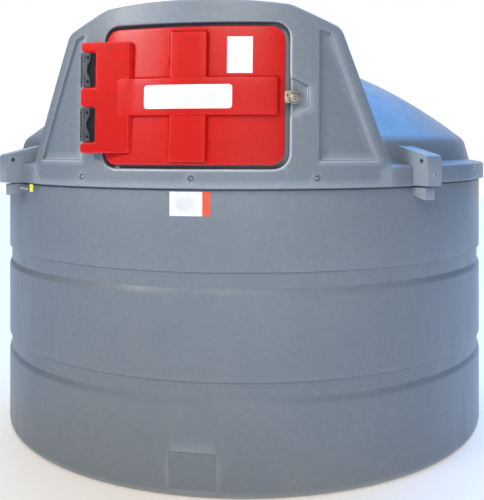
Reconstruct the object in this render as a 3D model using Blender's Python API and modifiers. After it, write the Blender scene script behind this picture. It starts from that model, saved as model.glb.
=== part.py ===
# Round double walled storage tank with a domed lid, and a hooded cabinet at the front behind a hinged door.
# Metres, +Z up. The origin is on the ground at the tank's axis, and the cabinet faces -Y.

from math import asin, cos, degrees, floor, pi, radians, sin, tan

import bmesh
import bpy
from mathutils import Matrix, Vector

# Clearance kept between two pieces that touch
GAP = 0.0003
# Wall of every moulded shell
WALL = 0.012

# Body of the tank
BODY_R = 1.210
BODY_FOOT_R = 1.180
FOOT_ROUND = 0.030
FOOT_INNER_R = 1.120
BODY_TOP = 1.2497
GROOVE_DEPTH = 0.014
LOWER_GROOVE = (0.360, 0.391, 0.436, 0.447)
UPPER_GROOVE = (0.777, 0.811, 0.856, 0.866)
BODY_SECTORS = 8
STEPS_PER_SECTOR = 8
PANEL_ANGLE = 4.25
PANEL_TOP = 0.178
PANEL_FOOT = 0.034
PANEL_DEPTH = 0.006

# Lid: a skirt over the top of the body, a ledge and the dome
SKIRT_R = 1.230
SKIRT_FOOT = 1.183
SKIRT_TOP = 1.266
SKIRT_EDGE = 0.012
LEDGE_UNDER = 1.250
SILL_WIDTH = 0.040
DOME_R = 1.158
DOME_FOOT = 1.278
# The dome starts as a steep wall, turns over its shoulder and goes on as a shallow bowl
DOME_WALL_TOP = (1.138, 1.351)
DOME_CORNER = (1.131, 1.3795)
SHOULDER_R = 1.107
SHOULDER_STEPS = 4
DOME_TOP = 1.8335
DOME_FALL = 0.355
CROWN_R = 0.430
CROWN_CLEAR = 0.001
DOME_STEPS = 6
CROWN_STEPS = 6

# Front of the hood: a cone that leans in from the skirt
FACE_R = 1.230
FACE_FOOT = 1.259
FACE_LEAN = 0.0702
FACE_THICK = 0.028
HOOD_HALF_ANGLE = 38.5
HOOD_STEPS = 14
HOOD_STEP = 2 * HOOD_HALF_ANGLE / HOOD_STEPS
# Facets across the door and all that lies on the face near it
SLAB_STEPS = 10

# Outline of the hood square to its roof, before it is tipped back, right half, from the base up
HOOD_BASE = (0.7585, 1.2887)
HOOD_CORNER = (0.558, 1.8265)
HOOD_SHOULDER = (0.370, 1.9004)
HOOD_CROWN = 1.912
HOOD_FRONT_Y = -1.200
HOOD_REAR_Y = -0.080
ROOF_FALL = 8.0
# How far the outline runs on down into the lid
HOOD_DROP = 0.16

# Door opening
OPEN_HALF = 0.367
OPEN_TOP = 1.817
OPEN_FOOT = 1.256
OPEN_ROUND = 0.060
RECESS_DEPTH = 0.014
# Outline of the sunk panel at each side of the opening, right side
SIDE_PANEL = ((0.484, 1.290), (0.699, 1.290), (0.522, 1.781), (0.484, 1.797))
PANEL_ROUND = 0.004
# Outline of the sunk seat behind the latch
LATCH_SEAT = (
    (0.350, 1.453), (0.369, 1.453), (0.440, 1.496), (0.440, 1.574), (0.369, 1.611), (0.350, 1.611),
)

# Cabinet behind the door
CABINET_HALF = 0.455
CABINET_BACK = -0.550
FLOOR_TOP = 1.2587
FLOOR_CLEAR = 0.002

# Door, measured across the front and outward from the face
DOOR_LEFT = -0.352
DOOR_RIGHT = 0.348
DOOR_FOOT = 1.272
DOOR_TOP = 1.801
DOOR_ROUND = 0.050
DOOR_BACK = -0.012
DOOR_SKIN = 0.001
RIB_LEFT = -0.304
RIB_RIGHT = 0.331
RIB_FOOT = 1.455
RIB_TOP = 1.610
RIB_SKIN = 0.024
RIB_BENDS = -0.240
UPRIGHT_LEFT = -0.091
UPRIGHT_RIGHT = 0.063
UPRIGHT_FOOT = 1.278
UPRIGHT_TOP = 1.785
UPRIGHT_SKIN = 0.018

# Raised block at the left of the door. Its flat front stands clear of the round tank and carries
# the hinges. BLOCK_FRONT is its y at BLOCK_LEVEL, and it leans back by BLOCK_LEAN for each metre up.
BLOCK_LEFT = -0.4475
BLOCK_RIGHT = -0.250
BLOCK_FOOT = 1.3165
BLOCK_TOP = 1.749
BLOCK_ROUND = 0.006
BLOCK_FRONT = -1.2075
BLOCK_LEVEL = 1.533
BLOCK_LEAN = 0.035
BLOCK_THICK = 0.030
BLOCK_JOINS = -0.350
RIB_PROUD = 0.004

# Grey pillar of the tank behind the block: plan at BLOCK_LEVEL, counterclockwise
PILLAR_PLAN = ((-0.449, -1.1695), (-0.385, -1.1695), (-0.385, -1.133), (-0.478, -1.0975))
PILLAR_FOOT = 1.325
PILLAR_TOP = 1.742

# Hinges: the axis stands at AXIS_X, AXIS_DEPTH behind the block's front
AXIS_X = -0.435
AXIS_DEPTH = 0.004
HINGE_SPANS = {"upper": (1.5745, 1.7085), "lower": (1.3605, 1.4935)}
NOTCH_CLEAR = 0.0035
NOTCH_RIGHT = -0.3875
SEAT_LEFT = -0.423
SEAT_DEPTH = 0.0075
KNUCKLE_R = 0.0065
PIN_R = 0.003
END_KNUCKLE = 0.034
KNUCKLE_CLEAR = 0.002
LEAF_THICK = 0.0040
LEAF_MARGIN = 0.001
LEAF_WAIST = 0.007
HUMP_RIGHT = -0.4035
HUMP_PROUD = 0.0035
HUMP_EDGE = 0.003
# The tank's leaf runs back from the axis at BASE_ANGLE to the front, on the pillar's flank
BASE_ANGLE = 50.0
BASE_LENGTH = 0.022
BASE_INNER = 0.0025
FLANK_CLEAR = 0.010
FLANK_END = 0.025
BOSS_SIDE = (-0.432, -1.1905)

# Hasp that reaches from the door's right edge over the latch seat, between two offsets from the face
HASP_Z = 1.5305
HASP_HALF = 0.0235
HASP_LEFT = DOOR_RIGHT + GAP
HASP_RIGHT = 0.402
HASP_BACK = -0.0045
HASP_FRONT = -0.0005
LOCK_X = 0.382
LOCK_Z = 1.525
LOCK_R = 0.024
LOCK_LENGTH = 0.018

# Lifting lugs
LUG_ANGLE = 45.0
LUG_ANGLES = (LUG_ANGLE, 180 - LUG_ANGLE, 180 + LUG_ANGLE, 360 - LUG_ANGLE)
LUG_HALF = 0.0405
LUG_R = 1.296
LUG_FOOT = 1.1845
LUG_EDGE = 1.292
LUG_CORNER = (1.285, 1.311)
LUG_BACK = (1.134, 1.3487)
LUG_HEEL = (1.147, 1.300)
LOWER_LUG_HALF = 0.031
LOWER_LUG_R = 1.280
LOWER_LUG_TOP = 1.178
LOWER_LUG_FOOT = 1.1266
LOWER_LUG_SLOPE = 0.25

# Inspection lid on the crown
HATCH_R = 0.210
HATCH_Y = 0.150
HATCH_RISE = 0.045
HATCH_RIM = 0.006
HATCH_OVERHANG = 0.012
HATCH_EDGE = 0.008
COLLAR_FOOT = 1.740

SECTOR_NAMES = ("front", "front_right", "right", "back_right", "back", "back_left", "left", "front_left")


def clear_scene():
    for old in list(bpy.data.objects):
        bpy.data.objects.remove(old, do_unlink=True)


def new_collection(name):
    made = bpy.data.collections.new(name)
    bpy.context.scene.collection.children.link(made)
    return made


def material(name, color, roughness, metallic=0.0):
    made = bpy.data.materials.new(name)
    made.use_nodes = True
    shader = made.node_tree.nodes["Principled BSDF"]
    shader.inputs["Base Color"].default_value = (*color, 1.0)
    shader.inputs["Roughness"].default_value = roughness
    shader.inputs["Metallic"].default_value = metallic
    made.diffuse_color = (*color, 1.0)
    return made


def new_object(name, mesh, collection):
    made = bpy.data.objects.new(name, mesh)
    collection.objects.link(made)
    return made


def finish_mesh(bm, name, collection):
    bmesh.ops.remove_doubles(bm, verts=bm.verts, dist=0.00002)
    bmesh.ops.recalc_face_normals(bm, faces=bm.faces)
    mesh = bpy.data.meshes.new(name)
    bm.to_mesh(mesh)
    bm.free()
    return new_object(name, mesh, collection)


def paint(piece, finish):
    piece.data.materials.clear()
    piece.data.materials.append(finish)
    piece.data.shade_smooth()
    piece.data.set_sharp_from_angle(angle=radians(30))


def around(angle, radius, height):
    """A place on the tank: the angle runs from the front, -Y, towards +X."""
    turn = radians(angle)
    return Vector((radius * sin(turn), -radius * cos(turn), height))


def turned_sector(name, section, start, end, steps, collection):
    """Sweep a closed section of (radius, height) points round the tank's axis."""
    bm = bmesh.new()
    corners = [bm.verts.new(around(start, r, z)) for r, z in section]
    cap = bm.faces.new(corners)
    bmesh.ops.spin(
        bm,
        geom=[cap] + list(cap.edges) + list(cap.verts),
        cent=(0, 0, 0),
        axis=(0, 0, 1),
        angle=radians(end - start),
        steps=steps,
        use_duplicate=False,
    )
    if not [face for face in bm.faces if face.is_valid and set(face.verts) == set(corners)]:
        bm.faces.new(corners)
    return finish_mesh(bm, name, collection)


def turned_solid(name, profile, steps, collection):
    """Turn a profile of (radius, height) points, top to bottom, that starts and ends on the axis."""
    mesh = bpy.data.meshes.new(name)
    bm = bmesh.new()
    line = [bm.verts.new((r, 0, z)) for r, z in profile]
    for a, b in zip(line, line[1:]):
        bm.edges.new((a, b))
    bm.to_mesh(mesh)
    bm.free()
    made = new_object(name, mesh, collection)
    turn = made.modifiers.new("Turn", "SCREW")
    turn.axis = "Z"
    turn.steps = steps
    turn.render_steps = steps
    turn.use_merge_vertices = True
    turn.merge_threshold = 0.00005
    return made


def prism(name, outline, front, back, collection, fall=0.0):
    """A closed outline of (x, z) points, made solid along +Y. A fall tips it down towards the back."""
    curve = bpy.data.curves.new(name, "CURVE")
    curve.dimensions = "2D"
    curve.fill_mode = "BOTH"
    curve.extrude = (back - front) / 2
    spline = curve.splines.new("POLY")
    spline.points.add(len(outline) - 1)
    for point, (x, z) in zip(spline.points, outline):
        point.co = (x, z, 0, 1)
    spline.use_cyclic_u = True
    drawn = new_object(name, curve, collection)
    bpy.context.view_layer.update()
    evaluated = drawn.evaluated_get(bpy.context.evaluated_depsgraph_get())
    mesh = bpy.data.meshes.new_from_object(evaluated)
    bpy.data.objects.remove(drawn)
    bm = bmesh.new()
    bm.from_mesh(mesh)
    bmesh.ops.remove_doubles(bm, verts=bm.verts, dist=0.00002)
    stand = Matrix.Rotation(pi / 2, 4, "X")
    centre = Matrix.Translation((0, (front + back) / 2, 0))
    tip = Matrix.Identity(4)
    if fall:
        hold = Vector((0, HOOD_FRONT_Y, HOOD_CROWN))
        tip = Matrix.Translation(hold) @ Matrix.Rotation(radians(-fall), 4, "X") @ Matrix.Translation(-hold)
    bmesh.ops.transform(bm, matrix=tip @ centre @ stand, verts=bm.verts)
    bmesh.ops.recalc_face_normals(bm, faces=bm.faces)
    bm.to_mesh(mesh)
    bm.free()
    return new_object(name, mesh, collection)


def box(name, low, high, collection):
    bm = bmesh.new()
    bmesh.ops.create_cube(bm, size=1.0)
    size = [b - a for a, b in zip(low, high)]
    middle = [(a + b) / 2 for a, b in zip(low, high)]
    bmesh.ops.scale(bm, vec=size, verts=bm.verts)
    bmesh.ops.translate(bm, vec=middle, verts=bm.verts)
    return finish_mesh(bm, name, collection)


def cylinder(name, start, end, radius, sides, collection):
    """A round bar between two points."""
    start = Vector(start)
    end = Vector(end)
    axis = end - start
    bm = bmesh.new()
    bmesh.ops.create_cone(
        bm, cap_ends=True, segments=sides, radius1=radius, radius2=radius, depth=axis.length
    )
    turn = axis.to_track_quat("Z", "Y").to_matrix().to_4x4()
    bmesh.ops.transform(bm, matrix=Matrix.Translation((start + end) / 2) @ turn, verts=bm.verts)
    return finish_mesh(bm, name, collection)


def boolean(piece, cutter, operation):
    change = piece.modifiers.new(cutter.name, "BOOLEAN")
    change.operation = operation
    change.object = cutter
    change.solver = "EXACT"


def cut(piece, *cutters):
    for cutter in cutters:
        boolean(piece, cutter, "DIFFERENCE")


def keep_inside(piece, *cutters):
    for cutter in cutters:
        boolean(piece, cutter, "INTERSECT")


def join(piece, *others):
    for other in others:
        boolean(piece, other, "UNION")


def rounded(points, radii, steps=4):
    """Round the corners of a closed outline; a radius of 0 leaves a corner sharp."""
    made = []
    count = len(points)
    for i, (point, radius) in enumerate(zip(points, radii)):
        corner = Vector(point)
        before = (Vector(points[i - 1]) - corner).normalized()
        after = (Vector(points[(i + 1) % count]) - corner).normalized()
        if radius == 0:
            made.append(tuple(corner))
            continue
        half = before.angle(after) / 2
        inward = (before + after).normalized()
        centre = corner + inward * (radius / sin(half))
        first = corner + before * (radius / tan(half))
        last = corner + after * (radius / tan(half))
        a = first - centre
        b = last - centre
        sweep = a.angle(b)
        for step in range(steps + 1):
            share = step / steps
            spoke = (a * sin((1 - share) * sweep) + b * sin(share * sweep)) / sin(sweep)
            made.append(tuple(centre + spoke))
    return made


def rectangle(left, right, foot, top, radius=0.0, steps=4):
    corners = [(left, foot), (right, foot), (right, top), (left, top)]
    return rounded(corners, [radius] * 4, steps)


def mirrored(outline):
    return [(-x, z) for x, z in reversed(outline)]


def inset(outline, distance):
    """Move a convex outline, drawn counterclockwise, inwards by a distance."""
    made = []
    count = len(outline)
    for i in range(count):
        a = Vector(outline[i - 1])
        b = Vector(outline[i])
        c = Vector(outline[(i + 1) % count])
        first = (b - a).normalized()
        second = (c - b).normalized()
        n1 = Vector((-first.y, first.x))
        n2 = Vector((-second.y, second.x))
        mitre = (n1 + n2).normalized()
        made.append(tuple(b + mitre * (distance / mitre.dot(n1))))
    return made


def face_r(z):
    """Radius of the hood's face at a height."""
    return FACE_R - FACE_LEAN * (z - FACE_FOOT)


def facet_angle(x, z):
    """Middle angle of the flat facet of the face that holds a point, in radians."""
    angle = degrees(asin(x / face_r(z)))
    return radians((floor(angle / HOOD_STEP) + 0.5) * HOOD_STEP)


def on_face(x, z, out=0.0):
    """A point of the faceted face at x and z, moved outwards from the tank's axis."""
    middle = facet_angle(x, z)
    reach = (face_r(z) + out) * cos(radians(HOOD_STEP / 2))
    return Vector((x, (x * sin(middle) - reach) / cos(middle), z))


def face_normal(x, z):
    middle = facet_angle(x, z)
    return Vector((sin(middle), -cos(middle), FACE_LEAN)).normalized()


def face_shell(name, inner, outer, foot, top, start, end, steps, collection):
    """A sector of the leaning face between two offsets from it."""
    section = [
        (face_r(foot) + inner, foot),
        (face_r(foot) + outer, foot),
        (face_r(top) + outer, top),
        (face_r(top) + inner, top),
    ]
    return turned_sector(name, section, start, end, steps, collection)


def dome_z(r):
    """Height of the dome inside its shoulder."""
    return DOME_TOP - DOME_FALL * r * r


def shoulder_line():
    """Points of the dome from its foot to where the shoulder ends."""
    start = Vector(DOME_WALL_TOP)
    corner = Vector(DOME_CORNER)
    end = Vector((SHOULDER_R, dome_z(SHOULDER_R)))
    points = [(DOME_R, DOME_FOOT)]
    for step in range(SHOULDER_STEPS):
        share = step / SHOULDER_STEPS
        points.append(tuple(start.lerp(corner, share).lerp(corner.lerp(end, share), share)))
    return points


def bowl_line(outer_r, inner_r, steps):
    """Points of the dome inside its shoulder, from an outer radius to an inner one."""
    radii = [outer_r + (inner_r - outer_r) * step / steps for step in range(steps + 1)]
    return [(r, dome_z(r)) for r in radii]


def offset_line(points, distance):
    """The line moved square to itself, to its left as it runs."""
    moved = []
    for i, point in enumerate(points):
        a = Vector(points[max(i - 1, 0)])
        b = Vector(points[min(i + 1, len(points) - 1)])
        along = (b - a).normalized()
        moved.append(tuple(Vector(point) + Vector((-along.y, along.x)) * distance))
    return moved


def body_section():
    low = LOWER_GROOVE
    high = UPPER_GROOVE
    floor = BODY_R - GROOVE_DEPTH
    middle = FOOT_ROUND * (1 - cos(pi / 4))
    return [
        (FOOT_INNER_R, 0.0),
        (BODY_FOOT_R, 0.0),
        (BODY_R - middle, middle),
        (BODY_R, FOOT_ROUND),
        (BODY_R, low[0]),
        (floor, low[1]),
        (floor, low[2]),
        (BODY_R, low[3]),
        (BODY_R, high[0]),
        (floor, high[1]),
        (floor, high[2]),
        (BODY_R, high[3]),
        (BODY_R, BODY_TOP),
        (BODY_R - 2 * WALL, BODY_TOP),
        (BODY_R - 2 * WALL, WALL + FOOT_ROUND),
        (BODY_FOOT_R - WALL, WALL),
        (FOOT_INNER_R, WALL),
    ]


def lug_prism(name, section, angle, half, collection):
    """A block with a section of (radius, height) points, set square to a radius of the tank."""
    made = prism(name, section, -half, half, collection)
    made.data.transform(Matrix.Rotation(radians(angle - 90), 4, "Z"))
    return made


def make_body(parts, cutters, grey):
    half = 180.0 / BODY_SECTORS
    seam = degrees(GAP / 2 / BODY_R)
    for i in range(BODY_SECTORS):
        middle = i * 2 * half
        name = "bund_wall_" + SECTOR_NAMES[i]
        wall = turned_sector(
            name, body_section(), middle - half + seam, middle + half - seam, STEPS_PER_SECTOR, parts
        )
        if i == 0:
            panel = turned_sector(
                "foot_panel_cutter",
                [
                    (BODY_R - PANEL_DEPTH, PANEL_FOOT),
                    (BODY_R + WALL, PANEL_FOOT),
                    (BODY_R + WALL, PANEL_TOP),
                    (BODY_R - PANEL_DEPTH, PANEL_TOP),
                ],
                -PANEL_ANGLE, PANEL_ANGLE, 2, cutters,
            )
            cut(wall, panel)
        if i % 2 == 1:
            root = BODY_R - WALL
            section = [
                (root, LOWER_LUG_FOOT + LOWER_LUG_SLOPE * (LOWER_LUG_R - root)),
                (LOWER_LUG_R, LOWER_LUG_FOOT),
                (LOWER_LUG_R, LOWER_LUG_TOP),
                (root, LOWER_LUG_TOP),
            ]
            angle = LUG_ANGLES[i // 2]
            join(wall, lug_prism("lower_lug_cutter_%d" % i, section, angle, LOWER_LUG_HALF, cutters))
        paint(wall, grey)
    floor = cylinder(
        "bund_floor", (0, 0, 0), (0, 0, WALL), FOOT_INNER_R - GAP, BODY_SECTORS * STEPS_PER_SECTOR, parts
    )
    paint(floor, grey)


def lid_section():
    ledge = [
        (SKIRT_R - WALL, SKIRT_FOOT),
        (SKIRT_R, SKIRT_FOOT),
        (SKIRT_R, SKIRT_TOP - SKIRT_EDGE),
        (SKIRT_R - SKIRT_EDGE * 0.3, SKIRT_TOP - SKIRT_EDGE * 0.3),
        (SKIRT_R - SKIRT_EDGE, SKIRT_TOP),
    ]
    skin = shoulder_line() + bowl_line(SHOULDER_R, CROWN_R, DOME_STEPS)
    inside = offset_line(skin, WALL)
    inside[0] = (DOME_R - WALL, LEDGE_UNDER)
    inside[-1] = (CROWN_R, skin[-1][1] - WALL)
    return ledge + skin + inside[::-1] + [(SKIRT_R - WALL, LEDGE_UNDER)]


def make_lid(parts, cutters, grey, hood_space):
    seam = degrees(GAP / 2 / BODY_R)
    front = turned_sector(
        "lid_front",
        [
            (SKIRT_R - WALL, SKIRT_FOOT),
            (SKIRT_R, SKIRT_FOOT),
            (SKIRT_R, FLOOR_TOP),
            (SKIRT_R - SILL_WIDTH, FLOOR_TOP),
            (SKIRT_R - SILL_WIDTH, LEDGE_UNDER),
            (SKIRT_R - WALL, LEDGE_UNDER),
        ],
        -HOOD_HALF_ANGLE + seam, HOOD_HALF_ANGLE - seam, HOOD_STEPS, parts,
    )
    paint(front, grey)
    rest = (360.0 - 2 * HOOD_HALF_ANGLE) / (BODY_SECTORS - 1)
    for i in range(1, BODY_SECTORS):
        start = HOOD_HALF_ANGLE + (i - 1) * rest
        lid = turned_sector(
            "lid_" + SECTOR_NAMES[i], lid_section(), start + seam, start + rest - seam,
            STEPS_PER_SECTOR, parts,
        )
        for angle in LUG_ANGLES:
            if start < angle < start + rest:
                section = [
                    (SKIRT_R - WALL / 2, LUG_FOOT),
                    (LUG_R, LUG_FOOT),
                    (LUG_R, LUG_EDGE),
                    LUG_CORNER,
                    LUG_BACK,
                    LUG_HEEL,
                    (DOME_R - WALL / 2, LEDGE_UNDER + WALL / 2),
                    (SKIRT_R - WALL / 2, LEDGE_UNDER + WALL / 2),
                ]
                lug = lug_prism("upper_lug_cutter_%d" % angle, section, angle, LUG_HALF, cutters)
                join(lid, lug)
        if i in (1, BODY_SECTORS - 1):
            cut(lid, hood_space)
        paint(lid, grey)

    hatch_hole = cylinder(
        "hatch_cutter", (0, HATCH_Y, 1.5), (0, HATCH_Y, 2.0), HATCH_R, 40, cutters
    )
    skin = bowl_line(CROWN_R - CROWN_CLEAR, 0.0, CROWN_STEPS)
    under = [(r, z - WALL) for r, z in skin]
    crown = turned_solid("lid_crown", skin[::-1] + under, 56, parts)
    cut(crown, hood_space, hatch_hole)
    paint(crown, grey)


def hood_outline():
    """Right side up, over the crown and down the left side, counterclockwise."""
    right = [HOOD_BASE, HOOD_CORNER, HOOD_SHOULDER]
    arc = []
    rise = HOOD_CROWN - HOOD_SHOULDER[1]
    for step in range(1, 6):
        x = HOOD_SHOULDER[0] * (1 - step / 3)
        arc.append((x, HOOD_SHOULDER[1] + rise * (1 - (x / HOOD_SHOULDER[0]) ** 2)))
    left = [(-x, z) for x, z in reversed(right)]
    slope = (HOOD_BASE[0] - HOOD_CORNER[0]) / (HOOD_CORNER[1] - HOOD_BASE[1])
    foot = (HOOD_BASE[0] + slope * HOOD_DROP, HOOD_BASE[1] - HOOD_DROP)
    return [(-foot[0], foot[1]), foot] + right + arc + left


def hood_strip(outline, inner, first, last):
    """The part of the hood's wall between two points of its outline."""
    outer_side = outline[first:last + 1]
    inner_side = inner[first:last + 1]
    return outer_side + inner_side[::-1]


def face_recess(name, outline, cutters):
    """A cutter that sinks an outline into the hood's face."""
    made = face_shell(
        name + "_cutter", -RECESS_DEPTH, 0.05, 1.28, 1.85,
        -HOOD_HALF_ANGLE, HOOD_HALF_ANGLE, HOOD_STEPS, cutters,
    )
    keep_inside(made, prism(name + "_outline", outline, -1.4, -0.7, cutters))
    return made


def axis_point(z):
    """The place of the door's axis at a height."""
    return Vector((AXIS_X, BLOCK_FRONT + AXIS_DEPTH + BLOCK_LEAN * (z - BLOCK_LEVEL), z))


def flank_point(along, out):
    """A plan point near the axis, along the tank's leaf and square out from it."""
    turn = radians(BASE_ANGLE)
    ahead = Vector((-cos(turn), sin(turn)))
    square = Vector((-sin(turn), -cos(turn)))
    return tuple(axis_point(BLOCK_LEVEL).xy + ahead * along + square * out)


def boss_plan():
    """Plan of the pillar's nose that carries a hinge, counterclockwise."""
    start = flank_point(FLANK_CLEAR, BASE_INNER - GAP)
    end = flank_point(FLANK_END, BASE_INNER - GAP)
    nose_back = PILLAR_PLAN[0][1] + 0.010
    return [end, start, BOSS_SIDE, (BOSS_SIDE[0], nose_back), PILLAR_PLAN[3]]


def leaning(name, outline, front, back, collection):
    """An outline of (x, z) points made solid between two depths behind the block's flat front."""
    made = prism(name, outline, BLOCK_FRONT + front, BLOCK_FRONT + back, collection)
    lean = Matrix.Identity(4)
    lean[1][2] = BLOCK_LEAN
    lean[1][3] = -BLOCK_LEAN * BLOCK_LEVEL
    made.data.transform(lean)
    return made


def upright_solid(name, plan, foot, top, collection):
    """A plan of (x, y) points at BLOCK_LEVEL made solid between two heights, leaning as the block does."""
    bm = bmesh.new()
    lower = BLOCK_LEAN * (foot - BLOCK_LEVEL)
    face = bm.faces.new([bm.verts.new((x, y + lower, foot)) for x, y in plan])
    raised = bmesh.ops.extrude_face_region(bm, geom=[face])
    moved = [item for item in raised["geom"] if isinstance(item, bmesh.types.BMVert)]
    bmesh.ops.translate(bm, vec=(0, BLOCK_LEAN * (top - foot), top - foot), verts=moved)
    return finish_mesh(bm, name, collection)


def make_hood(parts, cutters, grey, lid_inside):
    outline = hood_outline()
    inner = inset(outline, WALL)
    whole = prism("hood_front_cutter", outline, HOOD_FRONT_Y - 0.2, HOOD_REAR_Y, cutters, ROOF_FALL)

    left = face_shell(
        "hood_face_left", -FACE_THICK, 0, FACE_FOOT, 1.95,
        -HOOD_HALF_ANGLE, HOOD_HALF_ANGLE, HOOD_STEPS, parts,
    )
    right = face_shell(
        "hood_face_right", -FACE_THICK, 0, FACE_FOOT, 1.95,
        -HOOD_HALF_ANGLE, HOOD_HALF_ANGLE, HOOD_STEPS, parts,
    )
    top = face_shell(
        "hood_face_top", -FACE_THICK, 0, OPEN_TOP, 1.95,
        -HOOD_HALF_ANGLE, HOOD_HALF_ANGLE, HOOD_STEPS, parts,
    )
    corner = OPEN_HALF - OPEN_ROUND
    left_side = box("left_side_cutter", (-1.0, -1.3, 1.2), (-corner, -0.8, 2.0), cutters)
    right_side = box("right_side_cutter", (corner, -1.3, 1.2), (1.0, -0.8, 2.0), cutters)
    over_door = box("over_door_cutter", (GAP - corner, -1.3, 1.2), (corner - GAP, -0.8, 2.0), cutters)
    doorway = prism(
        "doorway_cutter",
        rectangle(-OPEN_HALF, OPEN_HALF, OPEN_FOOT, OPEN_TOP, OPEN_ROUND, 5),
        -1.4, -0.7, cutters,
    )
    keep_inside(left, whole, left_side)
    keep_inside(right, whole, right_side)
    keep_inside(top, whole, over_door)
    cut(left, doorway)
    cut(right, doorway)
    panel = rounded(SIDE_PANEL, [PANEL_ROUND] * 4, 2)
    cut(left, face_recess("recess_left", mirrored(panel), cutters))
    cut(right, face_recess("recess_right", panel, cutters), face_recess("recess_latch", LATCH_SEAT, cutters))
    join(left, upright_solid("hinge_pillar_cutter", PILLAR_PLAN, PILLAR_FOOT, PILLAR_TOP, cutters))
    for side, (low, high) in HINGE_SPANS.items():
        boss = upright_solid("hinge_boss_%s" % side, boss_plan(), low + 0.002, high - 0.002, cutters)
        join(left, boss)
    for piece in (left, right, top):
        paint(piece, grey)

    front_space = face_shell(
        "front_space_cutter", -FACE_THICK - GAP, 0.6, 1.0, 2.1,
        -HOOD_HALF_ANGLE - HOOD_STEP, HOOD_HALF_ANGLE + HOOD_STEP, HOOD_STEPS + 2, cutters,
    )
    below = box("hood_foot_cutter", (-1.2, -1.6, 0.8), (1.2, 0.2, FLOOR_TOP + GAP), cutters)
    strips = {
        "hood_side_right": (1, 3),
        "hood_shoulder_right": (3, 4),
        "hood_roof": (4, 10),
        "hood_shoulder_left": (10, 11),
        "hood_side_left": (11, 13),
    }
    closed = outline + [outline[0]]
    closed_inner = inner + [inner[0]]
    for name, (first, last) in strips.items():
        strip = hood_strip(closed, closed_inner, first, last)
        piece = prism(name, inset(strip, GAP / 2), HOOD_FRONT_Y - 0.1, HOOD_REAR_Y, parts, ROOF_FALL)
        cut(piece, front_space, lid_inside, below)
        paint(piece, grey)

    room = prism(
        "room_cutter", inset(inner, GAP), HOOD_FRONT_Y - 0.1, HOOD_REAR_Y, cutters, ROOF_FALL
    )
    make_cabinet(parts, grey, room, front_space, cutters)


def make_cabinet(parts, grey, room, front_space, cutters):
    wide = CABINET_HALF + WALL
    floor = box(
        "cabinet_floor",
        (-wide, -1.25, LEDGE_UNDER),
        (wide, CABINET_BACK + WALL, FLOOR_TOP),
        parts,
    )
    reach = cylinder(
        "floor_reach_cutter", (0, 0, 1.1), (0, 0, 1.4), SKIRT_R - SILL_WIDTH - FLOOR_CLEAR, 72, cutters
    )
    keep_inside(floor, reach)
    paint(floor, grey)
    for name, side in (("cabinet_side_left", -1), ("cabinet_side_right", 1)):
        near = side * CABINET_HALF
        far = side * wide
        wall = box(
            name,
            (min(near, far), -1.25, FLOOR_TOP + GAP),
            (max(near, far), CABINET_BACK + WALL, 1.95),
            parts,
        )
        cut(wall, front_space)
        keep_inside(wall, room)
        paint(wall, grey)
    back = box(
        "cabinet_back",
        (GAP - CABINET_HALF, CABINET_BACK, FLOOR_TOP + GAP),
        (CABINET_HALF - GAP, CABINET_BACK + WALL, 1.95),
        parts,
    )
    keep_inside(back, room)
    paint(back, grey)


def slab(name, outline, back, skin, cutters):
    """A flat outline laid on the leaning face, between two offsets from it."""
    zs = [z for _, z in outline]
    reach = HOOD_STEP * SLAB_STEPS / 2
    made = face_shell(
        name, back, skin, min(zs) - 0.02, max(zs) + 0.02, -reach, reach, SLAB_STEPS, cutters
    )
    keep_inside(made, prism(name + "_outline", outline, -1.4, -0.9, cutters))
    return made


def make_block(cutters):
    """The door's raised block, with a notch and a seat for each hinge."""
    block = leaning(
        "door_block",
        rectangle(BLOCK_LEFT, BLOCK_RIGHT, BLOCK_FOOT, BLOCK_TOP, BLOCK_ROUND, 2),
        0, 0.1, cutters,
    )
    behind = leaning("block_back", rectangle(-0.6, BLOCK_JOINS, 1.2, 1.9), BLOCK_THICK, 0.2, cutters)
    reach = HOOD_STEP * SLAB_STEPS / 2
    inside = face_shell(
        "block_inside", -0.3, DOOR_BACK + 0.002, 1.2, 1.9, -reach, reach, SLAB_STEPS, cutters
    )
    cut(block, behind, inside)
    for side, (low, high) in HINGE_SPANS.items():
        notch = box(
            "notch_%s" % side,
            (-0.6, -1.4, low - NOTCH_CLEAR),
            (NOTCH_RIGHT, -0.9, high + NOTCH_CLEAR),
            cutters,
        )
        cut(block, notch)
        seat = leaning(
            "hinge_seat_%s" % side,
            rectangle(SEAT_LEFT, NOTCH_RIGHT + 0.010, low - 0.010, high + 0.010),
            SEAT_DEPTH, BLOCK_THICK - 0.002, cutters,
        )
        join(block, seat)
    return block


def make_door(parts, cutters, red, hinge_empty):
    panel = slab(
        "door_panel",
        rectangle(DOOR_LEFT, DOOR_RIGHT, DOOR_FOOT, DOOR_TOP, DOOR_ROUND),
        DOOR_BACK, DOOR_SKIN, cutters,
    )
    cutters.objects.unlink(panel)
    parts.objects.link(panel)
    rib = slab(
        "door_rib",
        rectangle(RIB_BENDS - 0.020, RIB_RIGHT, RIB_FOOT, RIB_TOP, 0.008, 2),
        DOOR_BACK + 0.005, RIB_SKIN, cutters,
    )
    rib_end = leaning(
        "door_rib_end",
        rectangle(RIB_LEFT, RIB_BENDS, RIB_FOOT, RIB_TOP, 0.008, 2),
        -RIB_PROUD, 0.010, cutters,
    )
    upright = slab(
        "door_upright",
        rectangle(UPRIGHT_LEFT, UPRIGHT_RIGHT, UPRIGHT_FOOT, UPRIGHT_TOP, 0.008, 2),
        DOOR_BACK + 0.004, UPRIGHT_SKIN, cutters,
    )
    join(panel, make_block(cutters), upright, rib, rib_end)
    paint(panel, red)
    ride(panel, hinge_empty)


def ride(piece, empty):
    """Hang a piece on the door's axis without moving it."""
    piece.parent = empty
    piece.matrix_parent_inverse = empty.matrix_world.inverted()


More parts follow.
